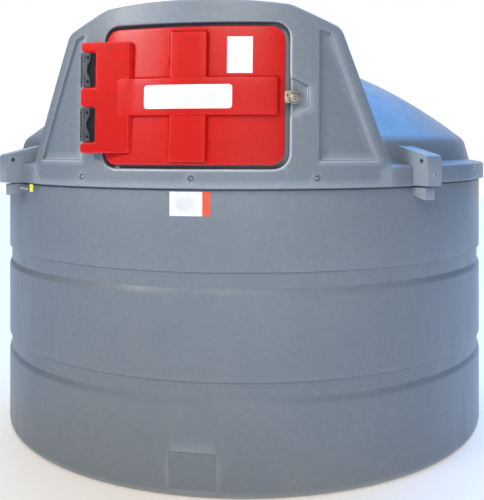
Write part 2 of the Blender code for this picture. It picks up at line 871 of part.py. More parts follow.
def leaf_outline(low, high):
    """The door's leaf, waisted at its right edge and cut back beside the end knuckles."""
    right = NOTCH_RIGHT - LEAF_MARGIN
    root = AXIS_X + (PIN_R + KNUCKLE_R) / 2
    inner = AXIS_X + KNUCKLE_R + KNUCKLE_CLEAR
    end = END_KNUCKLE + KNUCKLE_CLEAR
    return [
        (root, low + end),
        (inner, low + end),
        (inner, low),
        (right, low),
        (right, low + end + HUMP_EDGE),
        (right - LEAF_WAIST, (low + high) / 2),
        (right, high - end - HUMP_EDGE),
        (right, high),
        (inner, high),
        (inner, high - end),
        (root, high - end),
    ]


def hump_outline(low, high):
    """The raised middle of the leaf, waisted as the leaf is."""
    inner = AXIS_X + KNUCKLE_R + KNUCKLE_CLEAR + HUMP_EDGE / 2
    end = END_KNUCKLE + HUMP_EDGE
    return [
        (inner, low + HUMP_EDGE),
        (HUMP_RIGHT, low + HUMP_EDGE),
        (HUMP_RIGHT, low + end),
        (HUMP_RIGHT - LEAF_WAIST, (low + high) / 2),
        (HUMP_RIGHT, high - end),
        (HUMP_RIGHT, high - HUMP_EDGE),
        (inner, high - HUMP_EDGE),
    ]


def base_leaf(name, start, low, high, cutters):
    """A stretch of the tank's leaf, from a distance off the axis to its outer edge."""
    outer = BASE_INNER + LEAF_THICK
    plan = [
        flank_point(start, outer),
        flank_point(start, BASE_INNER),
        flank_point(BASE_LENGTH, BASE_INNER),
        flank_point(BASE_LENGTH, outer),
    ]
    return upright_solid(name, plan, low, high, cutters)


def make_hinges(parts, cutters, black, hinge_empty):
    beside = KNUCKLE_R + KNUCKLE_CLEAR
    for side, (low, high) in HINGE_SPANS.items():
        start = axis_point(low)
        end = axis_point(high)
        along = (end - start).normalized()
        first = start + along * END_KNUCKLE
        last = end - along * END_KNUCKLE
        base = cylinder("hinge_%s_base" % side, start, first, KNUCKLE_R, 16, parts)
        other = cylinder("hinge_%s_knuckle" % side, last, end, KNUCKLE_R, 16, cutters)
        pin = cylinder(
            "hinge_%s_pin" % side, start + along * 0.003, end - along * 0.003, PIN_R, 12, cutters
        )
        join(
            base, other, pin,
            base_leaf("hinge_%s_strip" % side, beside, low + 0.001, high - 0.001, cutters),
            base_leaf("hinge_%s_foot" % side, 0, low + 0.001, low + END_KNUCKLE - KNUCKLE_CLEAR, cutters),
            base_leaf("hinge_%s_head" % side, 0, high - END_KNUCKLE + KNUCKLE_CLEAR, high - 0.001, cutters),
        )
        paint(base, black)

        leaf = cylinder(
            "hinge_%s_leaf" % side, first + along * 0.0015, last - along * 0.0015, KNUCKLE_R, 16, parts
        )
        depth = SEAT_DEPTH - GAP
        plate = leaning("hinge_%s_plate" % side, leaf_outline(low, high), depth - LEAF_THICK, depth, cutters)
        hump = leaning("hinge_%s_hump" % side, hump_outline(low, high), -HUMP_PROUD, depth - 0.001, cutters)
        bore = cylinder(
            "hinge_%s_bore" % side, start - along * 0.01, end + along * 0.01, PIN_R + GAP, 12, cutters
        )
        join(leaf, plate, hump)
        cut(leaf, bore)
        paint(leaf, black)
        ride(leaf, hinge_empty)


def make_hasp(parts, cutters, steel, hinge_empty):
    strap = slab(
        "hasp_strap",
        rectangle(HASP_LEFT, HASP_RIGHT, HASP_Z - HASP_HALF, HASP_Z + HASP_HALF, 0.004, 2),
        HASP_BACK, HASP_FRONT, cutters,
    )
    cutters.objects.unlink(strap)
    parts.objects.link(strap)
    paint(strap, steel)
    ride(strap, hinge_empty)
    seat = on_face(LOCK_X, LOCK_Z, HASP_FRONT + GAP)
    outward = face_normal(LOCK_X, LOCK_Z)
    lock = cylinder("hasp_lock", seat, seat + outward * LOCK_LENGTH, LOCK_R, 20, parts)
    paint(lock, steel)
    ride(lock, hinge_empty)


def make_hatch(parts, cutters, grey):
    rim = dome_z(0) + HATCH_RIM
    ring = cylinder(
        "hatch_collar", (0, HATCH_Y, COLLAR_FOOT), (0, HATCH_Y, rim), HATCH_R - GAP, 40, parts
    )
    hollow = cylinder(
        "hatch_hollow_cutter", (0, HATCH_Y, 1.6), (0, HATCH_Y, 2.0), HATCH_R - WALL, 40, cutters
    )
    cut(ring, hollow)
    paint(ring, grey)
    top = dome_z(0) + HATCH_RISE
    cap = cylinder(
        "hatch_lid", (0, HATCH_Y, rim + GAP), (0, HATCH_Y, top), HATCH_R + HATCH_OVERHANG, 40, parts
    )
    edge = cap.modifiers.new("Edge", "BEVEL")
    edge.width = HATCH_EDGE
    edge.segments = 2
    edge.limit_method = "ANGLE"
    edge.angle_limit = radians(60)
    paint(cap, grey)


def main():
    clear_scene()
    parts = new_collection("storage_tank")
    cutters = new_collection("cutters")
    grey = material("tank_grey", (0.22, 0.27, 0.32), 0.45)
    red = material("door_red", (0.78, 0.02, 0.015), 0.35)
    black = material("hinge_black", (0.02, 0.02, 0.022), 0.4)
    steel = material("hasp_steel", (0.60, 0.57, 0.52), 0.35, 1.0)

    hood_space = prism(
        "hood_space_cutter", inset(hood_outline(), -GAP),
        HOOD_FRONT_Y - 0.3, HOOD_REAR_Y, cutters, ROOF_FALL,
    )
    skin = shoulder_line() + bowl_line(SHOULDER_R, CROWN_R, DOME_STEPS)
    skin += bowl_line(CROWN_R, 0.0, CROWN_STEPS)[1:]
    inside = offset_line(skin, WALL)[::-1]
    inside[0] = (0.0, inside[0][1])
    inside[-1] = (DOME_R - WALL, LEDGE_UNDER)
    lid_inside = turned_solid(
        "lid_inside_cutter",
        inside + [(SKIRT_R - WALL, LEDGE_UNDER), (SKIRT_R - WALL, 0.6), (0.0, 0.6)],
        64, cutters,
    )

    make_body(parts, cutters, grey)
    make_lid(parts, cutters, grey, hood_space)
    make_hood(parts, cutters, grey, lid_inside)
    make_hatch(parts, cutters, grey)

    hinge_empty = bpy.data.objects.new("door_axis", None)
    parts.objects.link(hinge_empty)
    hinge_empty.location = axis_point(BLOCK_LEVEL)
    bpy.context.view_layer.update()
    make_door(parts, cutters, red, hinge_empty)
    make_hinges(parts, cutters, black, hinge_empty)
    make_hasp(parts, cutters, steel, hinge_empty)

    for cutter in cutters.objects:
        cutter.hide_render = True
        cutter.display_type = "WIRE"


main()
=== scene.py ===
"""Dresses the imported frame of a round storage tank: skins, hood, door, fittings, finishes and stage."""

from math import asin, ceil, cos, degrees, pi, radians, sin, sqrt, tan, tau

import bmesh
import bpy
from bpy.props import FloatProperty, FloatVectorProperty, IntProperty, PointerProperty
from mathutils import Matrix, Vector
from mathutils.geometry import delaunay_2d_cdt
from mathutils.kdtree import KDTree


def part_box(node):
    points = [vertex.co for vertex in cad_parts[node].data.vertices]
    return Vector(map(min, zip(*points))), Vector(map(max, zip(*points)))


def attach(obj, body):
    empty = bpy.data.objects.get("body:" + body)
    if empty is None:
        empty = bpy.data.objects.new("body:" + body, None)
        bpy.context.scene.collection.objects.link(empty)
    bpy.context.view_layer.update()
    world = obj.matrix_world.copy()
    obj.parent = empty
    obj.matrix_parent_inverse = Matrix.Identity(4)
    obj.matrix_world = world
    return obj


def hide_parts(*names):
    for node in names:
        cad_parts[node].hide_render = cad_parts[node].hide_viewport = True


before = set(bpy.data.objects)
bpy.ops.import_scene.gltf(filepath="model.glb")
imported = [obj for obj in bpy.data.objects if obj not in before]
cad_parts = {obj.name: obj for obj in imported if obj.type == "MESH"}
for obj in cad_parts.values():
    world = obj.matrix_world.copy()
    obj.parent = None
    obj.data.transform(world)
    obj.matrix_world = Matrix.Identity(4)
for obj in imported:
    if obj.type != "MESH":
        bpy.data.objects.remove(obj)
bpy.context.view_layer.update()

bl_info = {
    "name": "Storage Tank",
    "version": (1, 0, 0),
    "blender": (4, 5, 0),
    "location": "3D View > Sidebar > Storage Tank",
    "description": "Builds a round storage tank with a hooded cabinet over its packed frame",
    "category": "Object",
}

# Hood, in the plane of its outline, which is tipped back with the roof
HOOD_HOLD = Vector((0.0, -1.200, 1.912))
HOOD_FALL = 8
HOOD_FOOT_LINE = ((0.7585, 1.2887), (0.558, 1.8265))
HOOD_SHOULDER = (0.370, 1.9004)
HOOD_REAR = 1.12
# Levels where the hood's sides and the guard line inside its face start
HOOD_LOW, GUARD_FOOT = 1.2455, 1.262
# The face: where it starts to lean, its radius there and how much it leans in
FACE_FOOT, FACE_RADIUS, FACE_LEAN = 1.259, 1.230, 0.0702

# What is sunk in the hood's face, as seen from the front
SIDE_PANEL = ((0.475, 1.284), (0.701, 1.284), (0.522, 1.781), (0.475, 1.797))
LATCH_SEAT = ((0.340, 1.448), (0.369, 1.453), (0.440, 1.496), (0.440, 1.574), (0.369, 1.611), (0.340, 1.616))

# Hinge block of the door: a flat front that leans back, with a notch for each hinge
BLOCK_LEVEL, BLOCK_LEAN = 1.533, 0.035
HINGE_SPANS = {"upper": (1.5745, 1.7085), "lower": (1.3605, 1.4935)}
HINGE_X, HINGE_DEPTH = -0.435, 0.004
NOTCH_RIGHT = -0.3875
SEAT_DEPTH = 0.0075
END_KNUCKLE = 0.034
PILLAR_PLAN = ((-0.449, -1.1695), (-0.385, -1.1695), (-0.385, -1.133), (-0.478, -1.0975))
FLANK_TURN = radians(50)
SCREW_IN = 0.020

# Lugs, each with a hole and a bolt at a radius and a height
LUG_ANGLES = (45.0, 135.0, 225.0, 315.0)
LUG_HOLE, LUG_BOLT = (1.272, 1.284), (1.303, 1.229)

# Bolts stand round the skirt between the lugs. Those up to this end of the hood are in its own skirt.
BOLT_ANGLES = [22.5 * k for k in range(16) if 22.5 * k not in LUG_ANGLES]
HOOD_END = 30
BOLT_LEVEL = 1.2215

# Hasp, the hole in its strap and the round lock, as seen from the front
HASP_SIDES, HASP_LEVEL, HASP_HALF = (0.3484, 0.402), 1.5305, 0.0235
STRAP_HOLE, LOCK_PLACE = (0.3595, 1.536), (0.382, 1.525)

# Angles of the small tag and of its stud's ends
TAG_ANGLE, STUD_ENDS = -38.2, (-43.2, -39.2)

# Each plastic: its colour, the shares of that in its clouds and in its rubs, the rubs' lift, the smoothest
# and the roughest skin, and the amounts of cloud, grain, scuffs, bump and gloss
PLASTICS = {
    "tank_plastic": ("moulding", (0.86, 0.90, 0.97), 1.25, 0.03, 0.34, 0.47, 0.55, 1.0, 0.35, 0.10, 0.5),
    "door_plastic": ("door", (0.82,) * 3, 0.95, 0.03, 0.25, 0.37, 0.5, 0.8, 0.25, 0.09, 0.30),
    "hinge_plastic": ("hinge", (0.6,) * 3, 1.4, 0.01, 0.36, 0.52, 0.5, 0.8, 0.6, 0.1, 0.12),
    # A lit copy of the hinge's black: painted light on the raised middle and the knuckles
    "hinge_satin": ("satin", (0.7,) * 3, 1.4, 0.03, 0.30, 0.44, 0.5, 0.8, 0.6, 0.1, 0.5),
    "plate_white": ("plate", (0.95,) * 3, 0.86, 0.0, 0.30, 0.42, 0.3, 0.2, 0.3, 0.02, 0.5),
    "label_band": ("band", (0.85,) * 3, 0.9, 0.05, 0.32, 0.45, 0.4, 0.2, 0.3, 0.02, 0.5),
    "tag_yellow": ("tag", (0.88,) * 3, 0.9, 0.05, 0.32, 0.45, 0.4, 0.3, 0.4, 0.04, 0.5),
    # Screws darker than the hinge's black: partly their own black, partly painted shade of the holes they sit
    # in
    "screw_black": ("screw", (0.6,) * 3, 1.4, 0.005, 0.35, 0.5, 0.5, 0.3, 0.4, 0.05, 0.12),
}
# Each metal: its colour, the share of that in its blotches, and the smoothest and roughest brushing
METALS = {"hasp_metal": ("steel", 0.72, 0.34, 0.52), "bolt_steel": ("bolt", 0.6, 0.22, 0.5)}

# Lamps of the stage: place, aim, width, beam in degrees, energy and colour
LAMPS = {
    "key": ((0.6, -4.6, 3.6), (0.2, -1.0, 1.0), 1.8, 180, 58, (1.0, 0.945, 0.87)),
    "side": ((-2.7, -3.9, 3.3), (0.0, -1.15, 1.75), 1.4, 44, 7.5, (1.0, 0.98, 0.96)),
    "fill": ((1.6, -6.6, 1.0), (0, 0, 0.9), 3.0, 180, 38, (1.0, 0.945, 0.87)),
}


def size(name, description, default):
    return FloatProperty(
        name=name, description=description, default=default, min=0.0, unit="LENGTH", precision=4
    )


def tint(name, description, default):
    return FloatVectorProperty(
        name=name, description=description, default=default, size=3, min=0.0, max=1.0, subtype="COLOR"
    )


class TankSizes(bpy.types.PropertyGroup):
    """Sizes of the moulded shells."""

    body_radius: size("Body radius", "Outer radius of the grooved wall", 1.210)
    body_top: size("Body top", "Height of the wall's upper edge", 1.2497)
    wall: size("Wall", "Thickness of the moulded wall", 0.010)
    foot_round: size("Foot round", "Radius of the wall's foot", 0.030)
    groove_depth: size("Groove depth", "How deep the two grooves are", 0.014)
    lower_groove: size("Lower groove", "Height of the lower groove's lower lip", 0.360)
    upper_groove: size("Upper groove", "Height of the upper groove's lower lip", 0.777)
    skirt_radius: size("Skirt radius", "Outer radius of the lid's skirt", -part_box("lid_front")[0][1])
    skirt_foot: size("Skirt foot", "Height of the skirt's lower edge", 1.183)
    skirt_rise: size("Skirt rise", "How much higher the skirt's lower edge is beyond the front lugs", 0.010)
    skirt_top: size("Skirt top", "Height of the ledge at the skirt's edge", 1.266)
    skirt_edge: size("Skirt edge", "Rounding of the skirt's upper edge", 0.012)
    dome_radius: size("Dome radius", "Radius of the dome at its foot", 1.163)
    dome_foot: size("Dome foot", "Height of the dome's foot", 1.278)
    dome_top: size("Dome top", "Height of the dome's crown", 1.8335)
    dome_fall: FloatProperty(
        name="Dome fall", description="How fast the dome falls away from its crown", default=0.355, min=0.0
    )
    hood_edge: size("Hood edge", "Rounding between the hood's front and its sides", 0.013)
    opening_left: size("Opening left", "Reach of the doorway to the left", 0.373)
    opening_right: size("Opening right", "Reach of the doorway to the right", 0.367)
    opening_foot: size("Opening foot", "Height of the doorway's lower edge", 1.256)
    opening_top: size("Opening top", "Height of the doorway's upper edge", 1.817)
    opening_lip: size("Opening lip", "Rounding of the doorway's edge", 0.0085)
    flange_depth: size("Flange depth", "How far the door's stop lies behind the face", 0.050)
    recess_draft: size("Recess draft", "Width of the sloping walls of what is sunk", 0.009)
    recess_depth: size("Recess depth", "Depth of the sunk panels and of the latch seat", 0.016)
    steps: IntProperty(name="Steps round", description="Facets round the tank", default=256, min=64, max=512)


class DoorSizes(bpy.types.PropertyGroup):
    """Sizes of the door and its fittings."""

    left: FloatProperty(name="Left edge", description="Left edge of the panel", default=-0.362, unit="LENGTH")
    right: size("Right edge", "Right edge of the panel", 0.348)
    foot: size("Foot", "Height of the panel's lower edge", 1.272)
    top: size("Top", "Height of the panel's upper edge", 1.801)
    corner: size("Corner", "Radius of the panel's corners", 0.050)
    skin: size("Skin", "How far the panel stands proud of the hood's face", 0.001)
    back: size("Back", "How far the panel's back lies behind the hood's face", 0.012)
    rib_proud: size("Rib", "Height of the level rib above the face", 0.024)
    upright_proud: size("Upright", "Height of the upright rib above the face", 0.018)
    block_front: size("Block front", "Distance of the hinge block's front ahead of the axis", 1.2075)
    block_thick: size("Block thickness", "Thickness of the hinge block", 0.030)
    knuckle: size("Knuckle", "Radius of the hinge knuckles", 0.0065)
    lock_radius: size("Lock radius", "Radius of the round lock", 0.024)
    bolt_radius: size("Bolt radius", "Radius of the dishes that hold the bolts", 0.0115)


class Finishes(bpy.types.PropertyGroup):
    """Colours of the finishes."""

    moulding: tint("Moulding", "Grey of the moulded shells", (0.218, 0.245, 0.265))
    door: tint("Door", "Red of the door", (0.620, 0.010, 0.007))
    hinge: tint("Hinge", "Black of the hinges", (0.016, 0.018, 0.020))
    # Partly painted shade: darker than the hinge's black to stand for the shade of the screw holes
    screw: tint("Screw", "Black of the hinges' screws", (0.004, 0.0045, 0.005))
    # Painted light: the hinge's own black plastic, greyed where it faces the light
    satin: tint("Satin", "Dark grey of the raised middle of a hinge", (0.060, 0.066, 0.071))
    steel: tint("Steel", "Metal of the hasp", (0.560, 0.500, 0.410))
    bolt: tint("Bolt", "Metal of the bolts", (0.520, 0.540, 0.560))
    plate: tint("Plate", "White of the bare plates and labels", (0.800, 0.790, 0.770))
    band: tint("Label band", "Band along the label's right edge", (0.700, 0.080, 0.035))
    tag: tint("Tag", "Yellow of the small tag", (0.820, 0.700, 0.050))
    floor: tint("Floor", "Plain floor", (0.850, 0.790, 0.720))


# Lines, outlines and surfaces


def around(angle, radius, height):
    """A place on the tank. The angle runs from the front towards the right."""
    turn = radians(angle)
    return Vector((radius * sin(turn), -radius * cos(turn), height))


def arc(corner, before, after, radius, steps):
    """Points of a rounded corner between two neighbours of it."""
    ways = [(point - corner).normalized() for point in (before, after)]
    half = ways[0].angle(ways[1]) / 2
    centre = corner + (ways[0] + ways[1]).normalized() * (radius / sin(half))
    first, last = (corner + way * (radius / tan(half)) - centre for way in ways)
    sweep = first.angle(last)
    points = []
    for step in range(steps + 1):
        share = step / steps
        points.append(centre + (first * sin((1 - share) * sweep) + last * sin(share * sweep)) / sin(sweep))
    return points


def softened(points, steps=5):
    """An open line through (a, b, rounding) points."""
    flat = [Vector(point[:2]) for point in points]
    line = flat[:1]
    for before, corner, after, point in zip(flat, flat[1:], flat[2:], points[1:]):
        line += arc(corner, before, after, point[2], steps) if point[2] else [corner]
    return line + flat[-1:]


def soft_turn(start, corner, end, steps):
    """Points of a soft edge after its start, which turns at the corner and stops at the end."""
    points = []
    for step in range(1, steps + 1):
        share = step / steps
        rest = 1 - share
        points.append(start * (rest * rest) + corner * (2 * share * rest) + end * (share * share))
    return points


class Outline:
    """A closed outline of (x, z) corners, drawn counterclockwise. All its loops have as many points."""

    def __init__(self, corners, rounds, spacing=0.014, steps=6):
        self.corners = [Vector(corner) for corner in corners]
        self.rounds = rounds if isinstance(rounds, list) else [rounds] * len(corners)
        self.steps = steps
        following = self.corners[1:] + self.corners[:1]
        self.counts = [max(1, ceil((b - a).length / spacing)) for a, b in zip(self.corners, following)]

    def moved(self, shift):
        """The corners moved inwards by shift, and which way the outline bends at each."""
        corners = []
        bends = []
        for i, corner in enumerate(self.corners):
            first = (corner - self.corners[i - 1]).normalized()
            second = (self.corners[(i + 1) % len(self.corners)] - corner).normalized()
            square = Vector((-first.y, first.x))
            mitre = (square + Vector((-second.y, second.x))).normalized()
            corners.append(corner + mitre * (shift / mitre.dot(square)))
            bends.append(first.x * second.y - first.y * second.x)
        return corners, bends

    def loop(self, shift=0.0):
        """The outline moved inwards by shift."""
        corners, bends = self.moved(shift)
        runs = []
        for i, (corner, after, rounding) in enumerate(zip(corners, corners[1:] + corners[:1], self.rounds)):
            radius = max(rounding - shift if bends[i] > 0 else rounding + shift, 0.0003)
            runs.append(arc(corner, corners[i - 1], after, radius, self.steps) if rounding else [corner])
        points = []
        for run, following, count in zip(runs, runs[1:] + runs[:1], self.counts):
            points += run + [run[-1].lerp(following[0], k / count) for k in range(1, count)]
        return points


def rectangle(left, right, foot, top, rounding, **more):
    return Outline([(left, foot), (right, foot), (right, top), (left, top)], rounding, **more)


def encloses(loop, point):
    """Whether a closed loop of points holds a point."""
    held = False
    px, py = point
    ax, ay = loop[-1]
    for bx, by in loop:
        if (ay > py) != (by > py) and px < (bx - ax) * (py - ay) / (by - ay) + ax:
            held = not held
        ax, ay = bx, by
    return held


def depth_inside(loop, point):
    """Distance from a point to a closed loop, positive inside."""
    px, py = point
    least = 1.0
    ax, ay = loop[-1]
    for bx, by in loop:
        dx, dy = bx - ax, by - ay
        share = ((px - ax) * dx + (py - ay) * dy) / (dx * dx + dy * dy)
        share = min(1.0, max(0.0, share))
        least = min(least, (px - ax - share * dx) ** 2 + (py - ay - share * dy) ** 2)
        ax, ay = bx, by
    distance = sqrt(least)
    return distance if encloses(loop, point) else -distance


def eased(value):
    value = min(1.0, max(0.0, value))
    return value * value * (3 - 2 * value)


def ramped(value, soft=0.12):
    """Rises from 0 to 1 in a straight slope with soft ends."""
    if value < soft:
        return max(0.0, value + soft) ** 2 / (4 * soft)
    if value > 1 - soft:
        return 1 - max(0.0, 1 + soft - value) ** 2 / (4 * soft)
    return value


def face_radius(z, soft=0.010):
    """Radius of the hood's face, which rises from the skirt and leans in."""
    rise = z - FACE_FOOT
    if rise < soft:
        return FACE_RADIUS - FACE_LEAN * max(0.0, rise + soft) ** 2 / (4 * soft)
    return FACE_RADIUS - FACE_LEAN * rise


def face_y(x, z, out=0.0):
    return -sqrt((face_radius(z) + out) ** 2 - x * x)


def block_y(z, out=0.0):
    """The flat front of the hinge block."""
    return -bpy.context.scene.door_sizes.block_front + BLOCK_LEAN * (z - BLOCK_LEVEL) - out


def on_face(out):
    """A surface that stands out from the hood's face."""
    return lambda x, z: face_y(x, z, out)


def on_block(out):
    """A surface that stands out from the hinge block's front."""
    return lambda x, z: block_y(z, out)


def dome_z(r):
    sizes = bpy.context.scene.tank_sizes
    return sizes.dome_top - sizes.dome_fall * r * r


def nodes_of(group):
    """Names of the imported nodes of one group, such as the wall's sectors."""
    return [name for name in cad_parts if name.startswith(group + "_")]


# Mesh work


def bridge(bm, first, second, closed=True):
    """Join two rings of vertices with four-sided faces."""
    count = len(first)
    for i in range(count if closed else count - 1):
        j = (i + 1) % count
        bm.faces.new((first[i], first[j], second[j], second[i]))


def ring(bm, places):
    return [bm.verts.new(place) for place in places]


def grow(bm, current, runs, closed=True):
    """Grow rings of vertices from a ring, along a run of places for each of its vertices."""
    for places in zip(*runs):
        following = ring(bm, places)
        bridge(bm, current, following, closed)
        current = following
    return current


def spread(bm, loops, place, spacing, inside):
    """Stretch a skin over closed loops of (x, z) points and a loose grid between them."""
    flat = [point for loop in loops for point in loop]
    near = KDTree(len(flat))
    for i, point in enumerate(flat):
        near.insert((point.x, point.y, 0), i)
    near.balance()
    low = Vector((min(p.x for p in flat), min(p.y for p in flat)))
    high = Vector((max(p.x for p in flat), max(p.y for p in flat)))
    points = list(flat)
    for row in range(int((high.y - low.y) / spacing) + 1):
        for column in range(int((high.x - low.x) / spacing) + 2):
            spot = Vector((low.x + (column + 0.5 * (row % 2)) * spacing, low.y + (row + 0.5) * spacing))
            if near.find((spot.x, spot.y, 0))[2] > 0.45 * spacing and inside(spot):
                points.append(spot)
    edges = []
    starts = [sum(len(loop) for loop in loops[:i]) for i in range(len(loops))]
    for start, loop in zip(starts, loops):
        edges += [(start + i, start + (i + 1) % len(loop)) for i in range(len(loop))]
    spots, _, faces, sources, _, _ = delaunay_2d_cdt(points, edges, [], 0, 1e-6)
    verts = ring(bm, [place(spot) for spot in spots])
    for face in faces:
        middle = sum((spots[i] for i in face), Vector((0, 0))) / len(face)
        if inside(middle):
            bm.faces.new([verts[i] for i in face])
    found = {source: verts[i] for i, kept in enumerate(sources) for source in kept}
    rings = [[found[start + i] for i in range(len(loop))] for start, loop in zip(starts, loops)]
    for vert in verts:
        if not vert.link_faces:
            bm.verts.remove(vert)
    return rings


def moulding(bm, outline, front, back, edge, flare=0.0, base=None, spacing=0.03, steps=5, draft=0.0):
    """A closed moulded form. front, back and base give y over (x, z), and base is what it grows from.

    Its walls spread by draft from the front's edge to the outline at the base, and end there in a flare.
    """
    def placed(point, surface):
        return Vector((point.x, surface(point.x, point.y), point.y))

    def skin(loop, surface):
        return spread(bm, [loop], lambda p: placed(p, surface), spacing, lambda p: encloses(loop, p))[0]

    inner = outline.loop(draft + edge)
    last = rim = outline.loop(draft)
    current = skin(inner, front)
    runs = []
    for a, b in zip(inner, rim):
        corner = placed(b, front)
        runs.append(soft_turn(placed(a, front), corner, corner + Vector((0, edge, 0)), steps))
    if flare:
        last = outline.loop(-flare)
        for run, b, c in zip(runs, outline.loop(), last):
            start = Vector((b.x, max(base(b.x, b.y) - flare, run[-1].y + 0.0001), b.y))
            corner = Vector((b.x, max(base(b.x, b.y), start.y), b.y))
            end = Vector((c.x, max(base(c.x, c.y), start.y) + 0.0003, c.y))
            run += [start] + soft_turn(start, corner, end, 4)
    current = grow(bm, current, runs)
    bridge(bm, current, skin(last, back))


def facing(origin, direction):
    """A frame at an origin that looks along a direction."""
    return Matrix.Translation(origin) @ Vector(direction).to_track_quat("Z", "Y").to_matrix().to_4x4()


def turned(bm, line, origin=(0, 0, 0), direction=(0, 0, 1), steps=24):
    """Turn a line of (radius, height) points about a direction. Its ends on the axis close the form."""
    place = facing(origin, direction)
    rings = []
    for r, h in line:
        turns = [tau * k / steps for k in range(steps if r >= 1e-6 else 1)]
        rings.append(ring(bm, [place @ Vector((r * sin(turn), -r * cos(turn), h)) for turn in turns]))
    for first, second in zip(rings, rings[1:]):
        for k in range(steps):
            j = (k + 1) % steps
            corners = [
                first[k % len(first)], first[j % len(first)], second[j % len(second)], second[k % len(second)]
            ]
            corners = [v for i, v in enumerate(corners) if v not in corners[:i]]
            if len(corners) > 2:
                bm.faces.new(corners)


def rod(bm, radius, low, high, origin, direction, steps):
    turned(bm, [(0, low), (radius, low), (radius, high), (0, high)], origin, direction, steps)


def bar(bm, plan, low, high, bevel, place=None):
    """A plan of (x, y) points between two heights, with soft edges, moved to its place by a matrix."""
    made = bmesh.new()
    face = made.faces.new(ring(made, [(x, y, low) for x, y in plan]))
    grown = bmesh.ops.extrude_face_region(made, geom=[face])
    tops = [item for item in grown["geom"] if isinstance(item, bmesh.types.BMVert)]
    bmesh.ops.translate(made, vec=(0, 0, high - low), verts=tops)
    bmesh.ops.recalc_face_normals(made, faces=made.faces)
    if bevel:
        bmesh.ops.bevel(
            made, geom=list(made.edges), offset=bevel, segments=3, profile=0.5, affect="EDGES",
            clamp_overlap=True,
        )
    if place is not None:
        bmesh.ops.transform(made, matrix=place, verts=made.verts)
    joined = bpy.data.meshes.new("bar")
    made.to_mesh(joined)
    made.free()
    bm.from_mesh(joined)
    bpy.data.meshes.remove(joined)


def plank(left, right, front, back):
    return [(left, front), (right, front), (right, back), (left, back)]


def solid(bm, name):
    """Turn mesh work into an object."""
    bmesh.ops.remove_doubles(bm, verts=bm.verts, dist=0.00001)
    bmesh.ops.recalc_face_normals(bm, faces=bm.faces)
    mesh = bpy.data.meshes.new(name)
    bm.to_mesh(mesh)
    bm.free()
    made = bpy.data.objects.new(name, mesh)
    bpy.context.scene.collection.objects.link(made)
    return made


def settle(piece):
    """Apply the modifiers of a piece."""
    bpy.context.view_layer.update()
    shown = piece.evaluated_get(bpy.context.evaluated_depsgraph_get())
    mesh = bpy.data.meshes.new_from_object(shown)
    piece.modifiers.clear()
    old = piece.data
    piece.data = mesh
    bpy.data.meshes.remove(old)


def carve(piece, *cutters):
    """Cut closed forms out of a piece."""
    for cutter in cutters:
        change = piece.modifiers.new("Carve", "BOOLEAN")
        change.operation = "DIFFERENCE"
        change.object = cutter
        change.solver = "EXACT"
    settle(piece)
    for cutter in cutters:
        mesh = cutter.data
        bpy.data.objects.remove(cutter)
        bpy.data.meshes.remove(mesh)


def paint(piece, finish):
    """Give a node of the frame a finish."""
    for slot in piece.material_slots:
        slot.material = bpy.data.materials["finish_" + finish]


def dress(piece, body, slot, finish, *nodes):
    """Give a piece its finish, its body and the nodes that it stands for."""
    piece.data.materials.clear()
    piece.data.materials.append(bpy.data.materials["finish_" + finish])
    piece.data.shade_smooth()
    piece.data.set_sharp_from_angle(angle=radians(35))
    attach(piece, body)
    if nodes:
        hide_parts(*nodes)


def dress_grey(piece, *nodes):
    dress(piece, "tank", "tank_plastic", "tank_plastic", *nodes)


# Finishes


def feed(tree, target, source):
    """Give an input a number, a colour or what another node puts out."""
    if isinstance(source, (int, float)):
        target.default_value = source
    elif isinstance(source, tuple):
        target.default_value = (*source[:3], 1.0)
    else:
        tree.links.new(source, target)


def node(tree, kind, **values):
    """A node with its settings, or with its inputs where the name is an input's."""
    made = tree.nodes.new("ShaderNode" + kind)
    for name, value in values.items():
        if hasattr(made, name):
            setattr(made, name, value)
        else:
            made.inputs[name].default_value = value
    return made


def stretched(tree, scale=(1, 1, 1)):
    """Object coordinates, stretched."""
    mapping = node(tree, "Mapping", Scale=scale)
    tree.links.new(node(tree, "TexCoord").outputs["Object"], mapping.inputs["Vector"])
    return mapping.outputs["Vector"]


def noise(tree, place, scale, detail, roughness=0.5):
    made = node(tree, "TexNoise", Scale=scale, Detail=detail, Roughness=roughness)
    tree.links.new(place, made.inputs["Vector"])
    return made.outputs["Fac"]


def ranged(tree, value, low, high, first=0.0, last=1.0, way="LINEAR"):
    made = node(tree, "MapRange", interpolation_type=way)
    names = ("Value", "From Min", "From Max", "To Min", "To Max")
    for name, source in zip(names, (value, low, high, first, last)):
        feed(tree, made.inputs[name], source)
    return made.outputs["Result"]


def smooth(tree, value, low, high):
    return ranged(tree, value, low, high, way="SMOOTHSTEP")


def mixed(tree, share, first, last):
    made = node(tree, "Mix", data_type="RGBA")
    inputs = {item.identifier: item for item in made.inputs}
    for name, source in (("Factor_Float", share), ("A_Color", first), ("B_Color", last)):
        feed(tree, inputs[name], source)
    return next(item for item in made.outputs if item.identifier == "Result_Color")


def maths(tree, kind, *values):
    made = node(tree, "Math", operation=kind)
    for slot, value in zip(made.inputs, values):
        feed(tree, slot, value)
    return made.outputs["Value"]


def times(tree, first, second):
    return maths(tree, "MULTIPLY", first, second)


def new_group(name, outputs, **inputs):
    """A shared group. Inputs with a tuple as default, and an output called Colour, carry a colour."""
    group = bpy.data.node_groups.new(name, "ShaderNodeTree")
    for key, value in inputs.items():
        kind = "NodeSocketColor" if isinstance(value, tuple) else "NodeSocketFloat"
        group.interface.new_socket(name=key, in_out="INPUT", socket_type=kind).default_value = value
    for key in outputs:
        kind = "NodeSocketColor" if key == "Colour" else "NodeSocketFloat"
        group.interface.new_socket(name=key, in_out="OUTPUT", socket_type=kind)
    return group, group.nodes.new("NodeGroupInput").outputs, group.nodes.new("NodeGroupOutput").inputs


